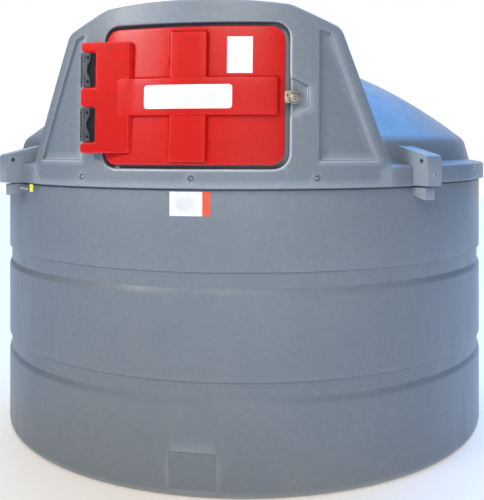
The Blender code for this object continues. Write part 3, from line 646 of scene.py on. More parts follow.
def moulded_skin():
    """Skin of moulded plastic: cloudy colour, uneven gloss and a fine pebbled grain."""
    group, given, result = new_group(
        "Moulded skin", ("Colour", "Roughness", "Height"),
        Colour=(0.5, 0.5, 0.5, 1), Shade=(0.4, 0.4, 0.4, 1), Cloud=0.5, Smooth=0.35, Rough=0.5, Grain=1.0,
    )
    even = stretched(group)
    run = noise(group, stretched(group, (1, 1, 0.22)), 9, 5, 0.6)
    cloud = smooth(group, noise(group, even, 1.7, 4), 0.32, 0.68)
    both = maths(group, "MULTIPLY_ADD", smooth(group, run, 0.35, 0.70), 0.45, cloud)
    colour = mixed(group, times(group, both, given["Cloud"]), given["Colour"], given["Shade"])
    flecked = node(group, "VectorMath", operation="SCALE")
    feed(group, flecked.inputs[0], colour)
    feed(group, flecked.inputs["Scale"], ranged(group, noise(group, even, 46, 3), 0.3, 0.7, 0.96, 1.04))
    feed(group, result["Colour"], flecked.outputs["Vector"])
    feed(group, result["Roughness"], ranged(group, run, 0.3, 0.7, given["Smooth"], given["Rough"]))
    grained = times(group, noise(group, even, 420, 2), given["Grain"])
    feed(group, result["Height"], maths(group, "MULTIPLY_ADD", noise(group, even, 5, 2), 4.0, grained))


def scuffs_and_highlights():
    """Sparse thin rubs and fine dust, and a painted highlight along edges, as masks."""
    group, given, result = new_group("Scuffs", ("Rubs", "Dust", "Edges"), Amount=0.5)
    even = stretched(group)
    patches = smooth(group, noise(group, even, 2.2, 2), 0.55, 0.75)
    across = ranged(group, noise(group, stretched(group, (1, 1, 14)), 3.5, 6, 0.7), 0.64, 0.72)
    along = ranged(group, noise(group, stretched(group, (9, 9, 1.2)), 3.0, 6, 0.7), 0.66, 0.74)
    lines = times(group, maths(group, "MAXIMUM", across, along), patches)
    feed(group, result["Rubs"], times(group, lines, given["Amount"]))
    dust = ranged(group, noise(group, even, 14, 8, 0.75), 0.56, 0.80)
    feed(group, result["Dust"], times(group, dust, given["Amount"]))
    # Painted highlight: sharp convex edges, and the edges marked as facing the light, are lit up in colour
    pointed_highlight = ranged(group, node(group, "NewGeometry").outputs["Pointiness"], 0.508, 0.540, 0.0, 0.35)
    marked_highlight = node(group, "Attribute", attribute_name="burnish").outputs["Fac"]
    feed(group, result["Edges"], maths(group, "MAXIMUM", pointed_highlight, marked_highlight))


def brushed():
    """Fine brushing of metal, as a colour share, a roughness and a height."""
    group, given, result = new_group("Brushed", ("Share", "Roughness", "Height"), Smooth=0.25, Rough=0.5)
    lines = noise(group, stretched(group, (40, 40, 900)), 1.0, 4)
    blotch = noise(group, stretched(group), 60, 4)
    feed(group, result["Share"], ranged(group, blotch, 0.35, 0.7))
    mean = maths(group, "MULTIPLY_ADD", lines, 0.5, times(group, blotch, 0.5))
    feed(group, result["Roughness"], ranged(group, mean, 0.3, 0.7, given["Smooth"], given["Rough"]))
    feed(group, result["Height"], lines)


def scaled(colour, share, lift=0.0):
    return tuple(c * share + lift for c in colour)


def new_finish(name, specular=0.5, metallic=0.0):
    made = bpy.data.materials.new("finish_" + name)
    made.use_nodes = True
    shader = made.node_tree.nodes["Principled BSDF"].inputs
    shader["Metallic"].default_value = metallic
    shader["Specular IOR Level"].default_value = specular
    return made, made.node_tree, shader


def placed_group(tree, name, **values):
    return node(tree, "Group", node_tree=bpy.data.node_groups[name], **values).outputs


def surfaced(tree, shader, colour, rough, height, strength, distance):
    """Feed a shader its colour and roughness, and its normal from a height."""
    feed(tree, shader["Base Color"], colour)
    feed(tree, shader["Roughness"], rough)
    bump = node(tree, "Bump", Strength=strength, Distance=distance)
    feed(tree, bump.inputs["Height"], height)
    feed(tree, shader["Normal"], bump.outputs["Normal"])


def plastic(name, colour, shares, rub_share, rub_lift, least, most, cloud, grain, marks, bump, gloss):
    """A moulded plastic made of the shared skin, scuffs and painted edge highlights."""
    _, tree, shader = new_finish(name, gloss)
    shade = tuple(c * share for c, share in zip(colour, shares))
    rub = scaled(colour, rub_share, rub_lift)
    skin = placed_group(
        tree, "Moulded skin", Colour=(*colour, 1), Shade=(*shade, 1),
        Cloud=cloud, Smooth=least, Rough=most, Grain=grain,
    )
    wear_and_highlights = placed_group(tree, "Scuffs", Amount=marks)
    rubbed = mixed(tree, wear_and_highlights["Rubs"], skin["Colour"], rub)
    dusted = mixed(tree, times(tree, wear_and_highlights["Dust"], 0.35), rubbed, rub)
    # Painted highlight: the edge mask lightens the colour to about twice its own
    highlighted = mixed(tree, times(tree, wear_and_highlights["Edges"], 0.9), dusted, scaled(colour, 2.1, 0.04))
    rough = maths(tree, "MULTIPLY_ADD", wear_and_highlights["Rubs"], 0.2, skin["Roughness"])
    surfaced(tree, shader, highlighted, rough, skin["Height"], bump, 0.0012)


def metal(name, colour, share, least, most):
    """A brushed metal."""
    _, tree, shader = new_finish(name, metallic=1.0)
    lines = placed_group(tree, "Brushed", Smooth=least, Rough=most)
    blotched = mixed(tree, lines["Share"], colour, scaled(colour, share))
    surfaced(tree, shader, blotched, lines["Roughness"], lines["Height"], 0.15, 0.0002)


class TANK_OT_finishes(bpy.types.Operator):
    """Make the shared node groups and every finish"""

    bl_idname = "tank.finishes"
    bl_label = "Finishes"

    def execute(self, context):
        moulded_skin()
        scuffs_and_highlights()
        brushed()
        for make, finishes in ((plastic, PLASTICS), (metal, METALS)):
            for name, (colour, *values) in finishes.items():
                make(name, tuple(getattr(context.scene.tank_finishes, colour)), *values)
        return {"FINISHED"}


# Shells of the tank


class TANK_OT_wall(bpy.types.Operator):
    """Mould the grooved wall with its foot, its floor and the sunk panel low at its front"""

    bl_idname = "tank.wall"
    bl_label = "Wall"

    def execute(self, context):
        s = context.scene.tank_sizes
        outer = s.body_radius
        floor = outer - s.groove_depth
        inner = outer - s.wall
        points = [(0, 0, 0), (0.6, 0, 0), (outer, 0, s.foot_round)]
        points += [(outer, z, 0) for z in (0.032, 0.0355, 0.039, 0.07, 0.12, 0.172, 0.1755, 0.179, 0.22, 0.3)]
        for low, above in ((s.lower_groove, (0.55, 0.66)), (s.upper_groove, (1.0,))):
            points += [(outer, low, 0.035), (floor, low + 0.0325, 0.016)]
            points += [(floor, low + 0.080, 0.003), (outer, low + 0.088, 0.004)]
            points += [(outer, z, 0) for z in above]
        under = outer - 0.007
        points += [
            (outer, s.skirt_foot - 0.0080, 0.001), (under, s.skirt_foot - 0.0068, 0),
            (under, s.skirt_foot + 0.0008, 0), (outer, s.skirt_foot + 0.002, 0), (outer, s.body_top, 0.003),
            (inner, s.body_top, 0.003), (inner, s.wall, 0.025), (0.6, s.wall, 0), (0, s.wall, 0),
        ]
        line = softened(points)
        # The sunk panel: half its width and half its side walls' width in degrees, its foot, top and depth
        edge, soft = 4.25, 0.24
        foot, top, slope, depth = 0.032, 0.179, 0.007, 0.006
        angles = [360.0 * k / s.steps for k in range(s.steps)]
        angles = [a for a in angles if min(abs(a - edge), abs(a - 360 + edge)) > 0.5]
        angles += [side * (edge + d) % 360 for side in (-1, 1) for d in (-soft, -0.08, 0.08, soft)]
        angles.sort()
        bm = bmesh.new()
        columns = []
        for angle in angles:
            off = min(angle, 360 - angle)
            column = []
            for r, z in line:
                if r > inner + 0.001 and 0.02 < z < 0.2:
                    rise = eased((z - foot) / slope) * eased((top - z) / slope)
                    r -= depth * (eased((edge + soft - off) / (2 * soft)) * rise)
                if off > LUG_ANGLES[0] and abs(z - s.skirt_foot) < 0.012:
                    z += s.skirt_rise
                column.append(around(angle, r, z))
            columns.append(ring(bm, column))
        for first, second in zip(columns, columns[1:] + columns[:1]):
            bridge(bm, first, second, False)
        dress_grey(solid(bm, "tank_wall"), *nodes_of("bund"))
        return {"FINISHED"}


def bolt_dishes(name, angles, sizes):
    """Shallow dishes to cut in the skirt, one for each bolt."""
    radius = bpy.context.scene.door_sizes.bolt_radius
    line = [(0, -0.0056), (radius * 0.96, -0.0056), (radius * 1.12, 0.002), (0, 0.002)]
    bm = bmesh.new()
    for angle in angles:
        turned(bm, line, around(angle, sizes.skirt_radius, BOLT_LEVEL), around(angle, 1, 0), 24)
    return solid(bm, name)


class TANK_OT_lid(bpy.types.Operator):
    """Mould the lid: skirt, ledge and dome, open where the hood stands"""

    bl_idname = "tank.lid"
    bl_label = "Lid"

    def execute(self, context):
        s = context.scene.tank_sizes
        wall = s.wall
        shoulder = 1.107
        bend_start = Vector((1.144, 1.351))
        line = softened([
            (s.skirt_radius - wall, s.skirt_foot, 0), (s.skirt_radius, s.skirt_foot, 0.003),
            (s.skirt_radius, 1.215, 0), (s.skirt_radius, s.skirt_top, s.skirt_edge),
            (s.dome_radius - 0.0005, s.dome_foot, 0.012), (1.151, 1.325, 0), tuple(bend_start),
        ])
        line += soft_turn(bend_start, Vector((1.137, 1.3795)), Vector((shoulder, dome_z(shoulder))), 7)
        line += [Vector((r, dome_z(r))) for r in [shoulder * (1 - k / 26) for k in range(1, 26)]]
        line += [Vector((0, s.dome_top)), Vector((0, s.dome_top - wall))]
        line += [Vector((r, dome_z(r) - wall * 1.2)) for r in (0.3, 0.6, 0.85, 1.0, 1.08)]
        line += [Vector((1.122, 1.345)), Vector((1.146, s.dome_foot - 0.012)), Vector((1.205, 1.252))]
        line += [Vector((s.skirt_radius - wall, 1.250)), line[0].copy()]
        bm = bmesh.new()
        turned(bm, line, steps=s.steps)
        for vert in bm.verts:
            if vert.co.z < s.skirt_foot + 0.01 and -vert.co.y < abs(vert.co.x):
                vert.co.z += s.skirt_rise
        shell = solid(bm, "tank_lid")

        # Room for the hood above this level, and for its front further down
        level, half = 1.32, 0.741
        bm = bmesh.new()
        outline = [Vector((-half, level)), Vector((half, level))]
        outline += [point for point in hood_outline().moved(0.004)[0] if point.y > level]
        ends = [ring(bm, [swept(point, depth) for point in outline]) for depth in (-0.4, HOOD_REAR)]
        bridge(bm, *ends)
        for end in ends:
            bm.faces.new(end)
        hood_space = solid(bm, "hood_space")

        bm = bmesh.new()
        reach = skirt_end(s)
        section = plank(0.62, 1.32, 1.15, 1.43)
        columns = []
        for k in range(25):
            columns.append(ring(bm, [around(-reach + 2 * reach * k / 24, r, z) for r, z in section]))
        for first, second in zip(columns, columns[1:]):
            bridge(bm, first, second)
        for end in (columns[0], columns[-1]):
            bm.faces.new(end)
        carve(shell, hood_space, solid(bm, "front_space"))
        carve(shell, bolt_dishes("lid_dishes", [a for a in BOLT_ANGLES if HOOD_END < a < 360 - HOOD_END], s))
        dress_grey(shell, *[name for name in nodes_of("lid") if name != "lid_front"])
        return {"FINISHED"}


# Hood


def hood_outline():
    """Outline of the hood before it is tipped back, from its base on the right round to the left."""
    (base_x, base_z), corner = HOOD_FOOT_LINE
    lean = (base_x - corner[0]) / (corner[1] - base_z)
    shoulder_x, shoulder_z = HOOD_SHOULDER
    crown = []
    for step in range(1, 14):
        x = shoulder_x * (1 - step / 7)
        crown.append((x, shoulder_z + (HOOD_HOLD.z - shoulder_z) * (1 - (x / shoulder_x) ** 2)))
    right = [(base_x - lean * rise, base_z + rise) for rise in (-0.07, 0.037)] + [corner, HOOD_SHOULDER]
    left = [(-x, z) for x, z in reversed(right)]
    rounds = [0, 0, 0.055, 0.12] + [0] * len(crown) + [0.12, 0.055, 0, 0]
    return Outline(right + crown + left, rounds, spacing=0.02, steps=8)


def swept(point, depth):
    """A point of the hood's outline carried back into the dome."""
    tip = Matrix.Rotation(radians(-HOOD_FALL), 3, "X")
    return HOOD_HOLD + tip @ Vector((point.x, depth, point.y - HOOD_HOLD.z))


def strike(point, out=0.0):
    """Where the line through a point of the hood's outline meets the face, and its depth there."""
    fall = radians(HOOD_FALL)
    rise = point.y - HOOD_HOLD.z
    depth = 0.0
    for _ in range(8):
        z = HOOD_HOLD.z - sin(fall) * depth + cos(fall) * rise
        depth = (face_y(point.x, z, out) - HOOD_HOLD.y - sin(fall) * rise) / cos(fall)
    return swept(point, depth), depth


def over_front(loop):
    """The part of a loop of the outline that runs over the hood, from base to base."""
    above = [i for i, p in enumerate(loop) if strike(p)[0].z > HOOD_LOW]
    return loop[min(i for i in above if loop[i].x > 0):max(i for i in above if loop[i].x < 0) + 1]


def skirt_end(sizes):
    """Angle where the hood's own stretch of skirt ends."""
    inner = hood_outline().loop(sizes.hood_edge)
    return degrees(asin(strike(over_front(inner)[0])[0].x / sizes.skirt_radius))


class TANK_OT_hood(bpy.types.Operator):
    """Mould the hood's front with its doorway, sunk panels and latch seat, and its sides and roof"""

    bl_idname = "tank.hood"
    bl_label = "Hood"

    def execute(self, context):
        s = context.scene.tank_sizes
        edge = s.hood_edge
        whole = hood_outline()
        inner_line = over_front(whole.loop(edge))
        count = len(inner_line)
        first = whole.loop(edge).index(inner_line[0])
        doorway = rectangle(-s.opening_left, s.opening_right, s.opening_foot, s.opening_top, 0.060, steps=10)
        hole = doorway.loop(-s.opening_lip)
        mirrored = [(-x, z) for x, z in reversed(SIDE_PANEL)]
        sunk = [Outline(LATCH_SEAT, 0.010, steps=4)]
        sunk += [Outline(panel, 0.006, steps=4) for panel in (SIDE_PANEL, mirrored)]
        sunk_lines = [shape.loop() for shape in sunk]

        def place(x, z):
            """A place on the face, or on what is sunk in it."""
            deepest = 0.0
            for line in sunk_lines:
                if min(p.x for p in line) - 0.01 < x < max(p.x for p in line) + 0.01:
                    inside = depth_inside(line, (x, z))
                    deepest = max(deepest, s.recess_depth * ramped(inside / s.recess_draft))
            return Vector((x, face_y(x, z, -deepest), z))

        # Loops of the face: border, doorway, walls of what is sunk, and a guard line inside the border
        rim = [strike(p)[0] for p in inner_line]
        end = rim[0]

        def level_line(z):
            """A level line from the hood's left end to its right."""
            return [Vector((end.x - 2 * end.x * k / 60, z)) for k in range(59, 0, -1)]

        side = [Vector((end.x, end.z + (s.skirt_foot - end.z) * k / 4)) for k in range(1, 5)]
        border = [Vector((p.x, p.z)) for p in rim] + [Vector((-p.x, p.y)) for p in side]
        border += level_line(s.skirt_foot) + side[::-1]
        guard = [strike(q)[0] for q in whole.loop(edge + 0.005)[first:first + count]]
        guard = [Vector((p.x, p.z)) for p in guard if p.z > GUARD_FOOT]
        loops = [border, hole, doorway.loop(-s.opening_lip - 0.004)]
        for shape in sunk:
            loops += [shape.loop(s.recess_draft * d) for d in (-0.3, -0.1, 0.1, 0.35, 0.65, 0.9, 1.1, 1.3)]
        loops.append(guard + level_line(GUARD_FOOT))

        def inside(p):
            return encloses(border, p) and not encloses(hole, p)

        bm = bmesh.new()
        rings = spread(bm, loops, lambda p: place(p.x, p.y), 0.026, inside)

        # Sides and roof, back into the dome
        runs = []
        for start, point in zip(rim, whole.loop(0.0)[first:first + count]):
            corner, depth = strike(point)
            run = soft_turn(start, corner, swept(point, depth + edge), 5)
            run += [swept(point, depth + edge + (HOOD_REAR - depth - edge) * k / 12) for k in range(1, 13)]
            runs.append(run)
        grow(bm, rings[0][:count], runs, False)

        # Lip of the doorway and the flange that the door closes against
        runs = []
        for a, b, c, d in zip(hole, *(doorway.loop(shift) for shift in (0.0, 0.004, 0.024))):
            corner = place(b.x, b.y)
            lip = soft_turn(place(a.x, a.y), corner, corner + Vector((0, s.opening_lip, 0)), 5)
            lip[-1].y = max(lip[-1].y, corner.y + 0.002)
            back = face_y(b.x, b.y) + s.flange_depth
            lip.append(Vector((b.x, max(back - 0.004, lip[-1].y + 0.001), b.y)))
            turn = Vector((c.x, face_y(c.x, c.y) + s.flange_depth, c.y))
            lip += soft_turn(lip[-1], Vector((b.x, back, b.y)), turn, 3)
            lip.append(Vector((d.x, face_y(d.x, d.y) + s.flange_depth, d.y)))
            runs.append(lip)
        grow(bm, rings[1], runs)

        shell = solid(bm, "tank_hood")
        flip_towards(shell.data, Vector((0, -1, 0)), Vector((0.45, -1.15, 1.86)))
        thick = shell.modifiers.new("Wall", "SOLIDIFY")
        thick.thickness = 0.007
        thick.offset = -1.0
        settle(shell)
        front = [a for a in BOLT_ANGLES if not HOOD_END < a < 360 - HOOD_END]
        carve(shell, bolt_dishes("hood_dishes", front, s))
        # Painted highlights on the doorway's edge and on the edges of what is sunk, on the sides that face
        # the light
        lines = [(doorway.loop(), [(-0.0035, 0.0065)])]
        lines += [(line, [(0.0, 0.0035), (s.recess_draft, 0.0035)]) for line in sunk_lines]
        burnish(shell, lines)
        dress_grey(shell, "lid_front", *nodes_of("hood"))
        return {"FINISHED"}


def burnish(piece, lines):
    """Paint a highlight on the moulded edges that look left and up, towards the light.

    Each line comes with the distances inside it where the painted highlights lie, and how wide each is.
    """
    marks = piece.data.attributes.new("burnish", "FLOAT", "POINT")
    step, reach = 0.0005, 0.012
    for loop, places in lines:
        low = min(p.x for p in loop) - reach, min(p.y for p in loop) - reach
        high = max(p.x for p in loop) + reach, max(p.y for p in loop) + reach
        for vert, mark in zip(piece.data.vertices, marks.data):
            x, y, z = vert.co
            if y > -0.98 or not (low[0] < x < high[0] and low[1] < z < high[1]):
                continue
            depth = depth_inside(loop, (x, z))
            if not -reach < depth < 0.013:
                continue
            across = (depth_inside(loop, (x + step, z)) - depth) / step
            upward = (depth_inside(loop, (x, z + step)) - depth) / step
            near = max(1.6 - 1.6 * abs(depth - place) / wide for place, wide in places)
            # The highlight is painted only where the edge looks left or up, towards the light
            share = min(1.0, max(0.0, near)) * min(1.0, max(0.0, upward - across))
            mark.value = max(mark.value, share)


def flip_towards(mesh, direction, near):
    """Turn all faces so that the one nearest a point faces a direction."""
    face = min(mesh.polygons, key=lambda item: (item.center - near).length)
    if face.normal.dot(direction) < 0:
        mesh.flip_normals()


def axis_plan():
    """Plan of the door's axis at the block's level."""
    return Vector((HINGE_X, block_y(BLOCK_LEVEL) + HINGE_DEPTH))


def flank(along, out):
    """A plan point near the axis, along the tank's leaf and square out from it."""
    ahead = Vector((-cos(FLANK_TURN), sin(FLANK_TURN)))
    square = Vector((-sin(FLANK_TURN), -cos(FLANK_TURN)))
    return axis_plan() + ahead * along + square * out


class TANK_OT_pillar(bpy.types.Operator):
    """Mould the pillar of the hood behind the hinge block, with a nose for each hinge"""

    bl_idname = "tank.pillar"
    bl_label = "Hinge pillar"

    def execute(self, context):
        lean = Matrix.Identity(4)
        lean[1][2] = BLOCK_LEAN
        lean[1][3] = -BLOCK_LEAN * BLOCK_LEVEL
        nose = [tuple(flank(along, 0.0022)) for along in (0.025, 0.010)]
        nose += [(-0.432, -1.1905), (-0.432, -1.1595), PILLAR_PLAN[3]]
        bm = bmesh.new()
        bar(bm, PILLAR_PLAN, 1.325, 1.742, 0.003, lean)
        for low, high in HINGE_SPANS.values():
            bar(bm, nose, low + 0.002, high - 0.002, 0.0015, lean)
        dress_grey(solid(bm, "hinge_pillar"))
        return {"FINISHED"}


class TANK_OT_cabinet(bpy.types.Operator):
    """Give the cabinet behind the door its finish"""

    bl_idname = "tank.cabinet"
    bl_label = "Cabinet"

    def execute(self, context):
        for name in nodes_of("cabinet"):
            paint(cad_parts[name], "tank_plastic")
        return {"FINISHED"}


class TANK_OT_hatch(bpy.types.Operator):
    """Make the inspection lid on the crown"""

    bl_idname = "tank.hatch"
    bl_label = "Inspection lid"

    def execute(self, context):
        low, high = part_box("hatch_lid")
        radius = (high[0] - low[0]) / 2
        middle = Vector(((low[0] + high[0]) / 2, (low[1] + high[1]) / 2, 0))
        foot, top = low[2], high[2]
        bm = bmesh.new()
        turned(bm, softened([
            (0, foot, 0), (radius - 0.006, foot, 0), (radius, foot, 0.002), (radius, top - 0.006, 0.007),
            (radius - 0.022, top - 0.002, 0.006), (radius - 0.030, top - 0.009, 0.005),
            (radius - 0.075, top - 0.009, 0.006), (radius - 0.085, top, 0.006), (0.03, top, 0), (0, top, 0),
        ], 4), middle, steps=96)
        grip = plank(-0.010, 0.010, -radius - 0.0005, -radius + 0.012)
        for angle in range(0, 360, 30):
            turn = Matrix.Translation(middle) @ Matrix.Rotation(radians(angle), 4, "Z")
            bar(bm, grip, foot + 0.003, top - 0.010, 0.002, turn)
        dress_grey(solid(bm, "hatch_cap"), "hatch_lid")
        paint(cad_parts["hatch_collar"], "tank_plastic")
        return {"FINISHED"}


class TANK_OT_lugs(bpy.types.Operator):
    """Mould the lifting lugs, each with its hole, and the blocks under them"""

    bl_idname = "tank.lugs"
    bl_label = "Lifting lugs"

    def execute(self, context):
        upper = softened([
            (1.224, 1.1845, 0), (1.303, 1.1845, 0), (1.303, 1.305, 0.016), (1.134, 1.3487, 0.004),
            (1.146, 1.300, 0), (1.150, 1.256, 0), (1.224, 1.256, 0),
        ], 4)
        lower = [(1.203, 1.1458), (1.280, 1.1266), (1.280, 1.178), (1.203, 1.178)]
        stand = Matrix.Rotation(pi / 2, 4, "X")
        made = []
        for name, section, half, bevel in (
            ("lifting_lugs", upper, 0.0425, 0.0035),
            ("lower_lugs", lower, 0.031, 0.004),
        ):
            bm = bmesh.new()
            for angle in LUG_ANGLES:
                turn = Matrix.Rotation(radians(angle - 90), 4, "Z")
                bar(bm, [tuple(point) for point in section], -half, half, bevel, turn @ stand)
            made.append(solid(bm, name))
        holes = bmesh.new()
        for angle in LUG_ANGLES:
            rod(holes, 0.009, -0.08, 0.08, around(angle, *LUG_HOLE), around(angle + 90, 1, 0), 20)
        carve(made[0], solid(holes, "lug_holes"))
        for lugs in made:
            dress_grey(lugs)
        return {"FINISHED"}


def bolt(bm, angle, distance, level, radius, low, proud):
    """A domed socket head that stands from low to proud, measured from a place on the tank."""
    turned(bm, softened([
        (0, low, 0), (radius, low, 0), (radius, proud - 0.003, 0.001), (radius * 0.60, proud, 0.002),
        (radius * 0.44, proud, 0.0004), (radius * 0.40, proud - 0.0025, 0), (0, proud - 0.0025, 0),
    ], 3), around(angle, distance, level), around(angle, 1, 0), 24)


class TANK_OT_bolts(bpy.types.Operator):
    """Set the bolts round the skirt and one in each lug"""

    bl_idname = "tank.bolts"
    bl_label = "Bolts"

    def execute(self, context):
        radius = context.scene.door_sizes.bolt_radius
        bm = bmesh.new()
        for angle in BOLT_ANGLES:
            bolt(bm, angle, context.scene.tank_sizes.skirt_radius, BOLT_LEVEL, radius * 0.66, -0.0058, 0.0006)
        for angle in LUG_ANGLES:
            bolt(bm, angle, *LUG_BOLT, radius * 0.70, -0.001, 0.004)
        dress(solid(bm, "skirt_bolts"), "tank", "hasp_metal", "bolt_steel")
        return {"FINISHED"}


# Door and its fittings


def block_outline():
    left, right, foot, top = -0.4475, -0.250, 1.3165, 1.749
    clear = 0.0035
    corners = [(left, foot), (-0.352, foot), (-0.350, foot), (right, foot)]
    corners += [(right, top), (-0.350, top), (-0.352, top), (left, top)]
    rounds = [0.012, 0, 0, 0.010, 0.010, 0, 0, 0.012]
    for low, high in HINGE_SPANS.values():
        low, high = low - clear, high + clear
        corners += [(left, high), (NOTCH_RIGHT, high), (NOTCH_RIGHT, low), (left, low)]
        rounds += [0.012, 0.007, 0.007, 0.012]
    return Outline(corners, rounds, steps=5)


class TANK_OT_door(bpy.types.Operator):
    """Mould the door: curved panel, hinge block, level rib and upright rib"""

    bl_idname = "tank.door"
    bl_label = "Door"

    def execute(self, context):
        d = context.scene.door_sizes
        skin = on_face(d.skin)
        core = on_face(-0.006)

        def rib_front(x, z):
            if x < -0.240:
                rise = 0.0001 + 0.0043 * eased((x + 0.302) / 0.045)
                return min(block_y(z, rise), face_y(x, z, d.rib_proud))
            return face_y(x, z, d.rib_proud)

        def rib_base(x, z):
            return block_y(z) if x < -0.250 else skin(x, z)

        def block_back(x, z):
            return core(x, z) if x > -0.351 else block_y(z, -d.block_thick)

        def slope(x, z):
            share = min(1.0, max(0.0, (x + 0.2515) / 0.0095))
            return (1 - share) * block_y(z, -0.0025) + share * (skin(x, z) - 0.0005)

        corners = [(x, 1.455) for x in (-0.304, -0.251, -0.249, 0.331)]
        corners += [(x, 1.610) for x in (0.331, -0.249, -0.251, -0.304)]
        rib = Outline(corners, [0.012, 0, 0, 0.014, 0.014, 0, 0, 0.012])
        upright = rectangle(-0.091, 0.063, 1.278, 1.785, 0.014)
        step = rectangle(-0.275, -0.2415, 1.3185, 1.747, 0.006)
        bm = bmesh.new()
        panel = rectangle(d.left, d.right, d.foot, d.top, d.corner, steps=10)
        moulding(bm, panel, skin, on_face(-d.back), 0.005)
        moulding(bm, upright, on_face(d.upright_proud), core, 0.005, 0.004, skin, draft=0.006)
        moulding(bm, rib, rib_front, core, 0.0035, 0.003, rib_base, draft=0.007)
        moulding(bm, block_outline(), on_block(0.0), block_back, 0.006)
        moulding(bm, step, slope, core, 0.002, spacing=0.008, steps=3)
        for low, high in HINGE_SPANS.values():
            seat = rectangle(-0.423, NOTCH_RIGHT + 0.010, low - 0.010, high + 0.010, 0.002, steps=2)
            moulding(bm, seat, on_block(-SEAT_DEPTH), on_block(-d.block_thick + 0.002), 0.001, steps=2)
        dress(solid(bm, "door_shell"), "door", "door_plastic", "door_plastic", "door_panel")
        return {"FINISHED"}


def leaf_outline(low, high):
    """The door's leaf, waisted at its right edge and cut back beside the end knuckles."""
    right = NOTCH_RIGHT - 0.001
    inner = HINGE_X + 0.0085
    root = HINGE_X + 0.0048
    end = END_KNUCKLE + 0.002
    middle = (low + high) / 2
    corners = [
        (root, low + end), (inner, low + end), (inner, low), (right, low), (right, low + end + 0.003),
        (right - 0.003, middle), (right, high - end - 0.003), (right, high), (inner, high),
        (inner, high - end), (root, high - end),
    ]
    return Outline(corners, [0, 0.0015, 0.003, 0.004, 0.02, 0.05, 0.02, 0.004, 0.003, 0.0015, 0], steps=5)


def hump_outline(low, high):
    """The raised middle of the leaf."""
    inner = HINGE_X + 0.0082
    over = HINGE_X + 0.001
    end = END_KNUCKLE + 0.002
    right = -0.4075
    waist = right - 0.0125
    middle = (low + high) / 2
    corners = [
        (inner, low + 0.002), (right, low + 0.002), (right, low + 0.029), (waist, middle - 0.010),
        (waist, middle + 0.010), (right, high - 0.029), (right, high - 0.002), (inner, high - 0.002),
        (inner, high - end), (over, high - end), (over, low + end), (inner, low + end),
    ]
    return Outline(corners, [0.002, 0.004, 0.02, 0.02, 0.02, 0.02, 0.004, 0.002] + [0.001] * 4, steps=5)


def hump_y(x, z):
    """The swelling front of a hinge's hump."""
    return block_y(z, 0.0058 - 14.0 * (x + 0.4215) ** 2)


def screw(bm, place, outward):
    """A small black screw with a socket, in a thin washer."""
    turned(bm, softened([
        (0, -0.001, 0), (0.0058, -0.001, 0), (0.0058, 0.0004, 0.0002), (0.0040, 0.0004, 0),
        (0.0036, 0.0010, 0.0004), (0.0022, 0.0015, 0.0006), (0.0018, 0.0015, 0), (0.0016, 0.0002, 0),
        (0, 0.0001, 0),
    ], 2), place, outward, 16)


class TANK_OT_hinges(bpy.types.Operator):
    """Make the leaves of the hinges and their screws"""

    bl_idname = "tank.hinges"
    bl_label = "Hinges"

    def execute(self, context):
        knuckle = context.scene.door_sizes.knuckle
        depth = SEAT_DEPTH - 0.0003
        outward = Vector((0, -1, BLOCK_LEAN)).normalized()
        square = Vector((-sin(FLANK_TURN), -cos(FLANK_TURN), 0))
        along = Vector((0, BLOCK_LEAN, 1)).normalized()
        flank_spot = flank(0.0155, 0.0065)
        for side, (low, high) in HINGE_SPANS.items():
            leaf = bmesh.new()
            shape = leaf_outline(low, high)
            moulding(leaf, shape, on_block(0.0026 - depth), on_block(-depth), 0.001, spacing=0.01, steps=3)
            hump = bmesh.new()
            shape = hump_outline(low, high)
            moulding(hump, shape, hump_y, on_block(0.001 - depth), 0.0022, spacing=0.006, steps=4)
            foot = Vector((*axis_plan(), BLOCK_LEVEL)) + Vector((0, BLOCK_LEAN, 1)) * (low - BLOCK_LEVEL)
            start = END_KNUCKLE + 0.0015
            end = (high - low) / along.z - END_KNUCKLE - 0.0015
            line = [(0.0033, start, 0), (knuckle, start, 0.0012), (knuckle, end, 0.0012), (0.0033, end, 0)]
            turned(hump, softened(line + line[:1], 3), foot, along, 32)
            # The hump gets the lit copy of the hinge's black as painted light
            dress(solid(hump, "hinge_%s_hump" % side), "door", "hinge_plastic", "hinge_satin")
            leaf = solid(leaf, "hinge_%s_plate" % side)
            dress(leaf, "door", "hinge_plastic", "hinge_plastic", "hinge_%s_leaf" % side)
            # The end knuckles get the same painted light as the hump
            paint(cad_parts["hinge_%s_base" % side], "hinge_satin")
            levels = (low + SCREW_IN, high - SCREW_IN)
            screws = bmesh.new()
            for z in levels:
                screw(screws, Vector((-0.4165, hump_y(-0.4165, z), z)), outward)
            # The screws get a black that is partly painted shade of their holes
            dress(solid(screws, "hinge_%s_screws" % side), "door", "hinge_plastic", "screw_black")
            screws = bmesh.new()
            for z in levels:
                back = BLOCK_LEAN * (z - BLOCK_LEVEL)
                screw(screws, Vector((flank_spot.x, flank_spot.y + back, z)), square)
            dress(solid(screws, "tank_%s_screws" % side), "tank", "hinge_plastic", "screw_black")
        return {"FINISHED"}


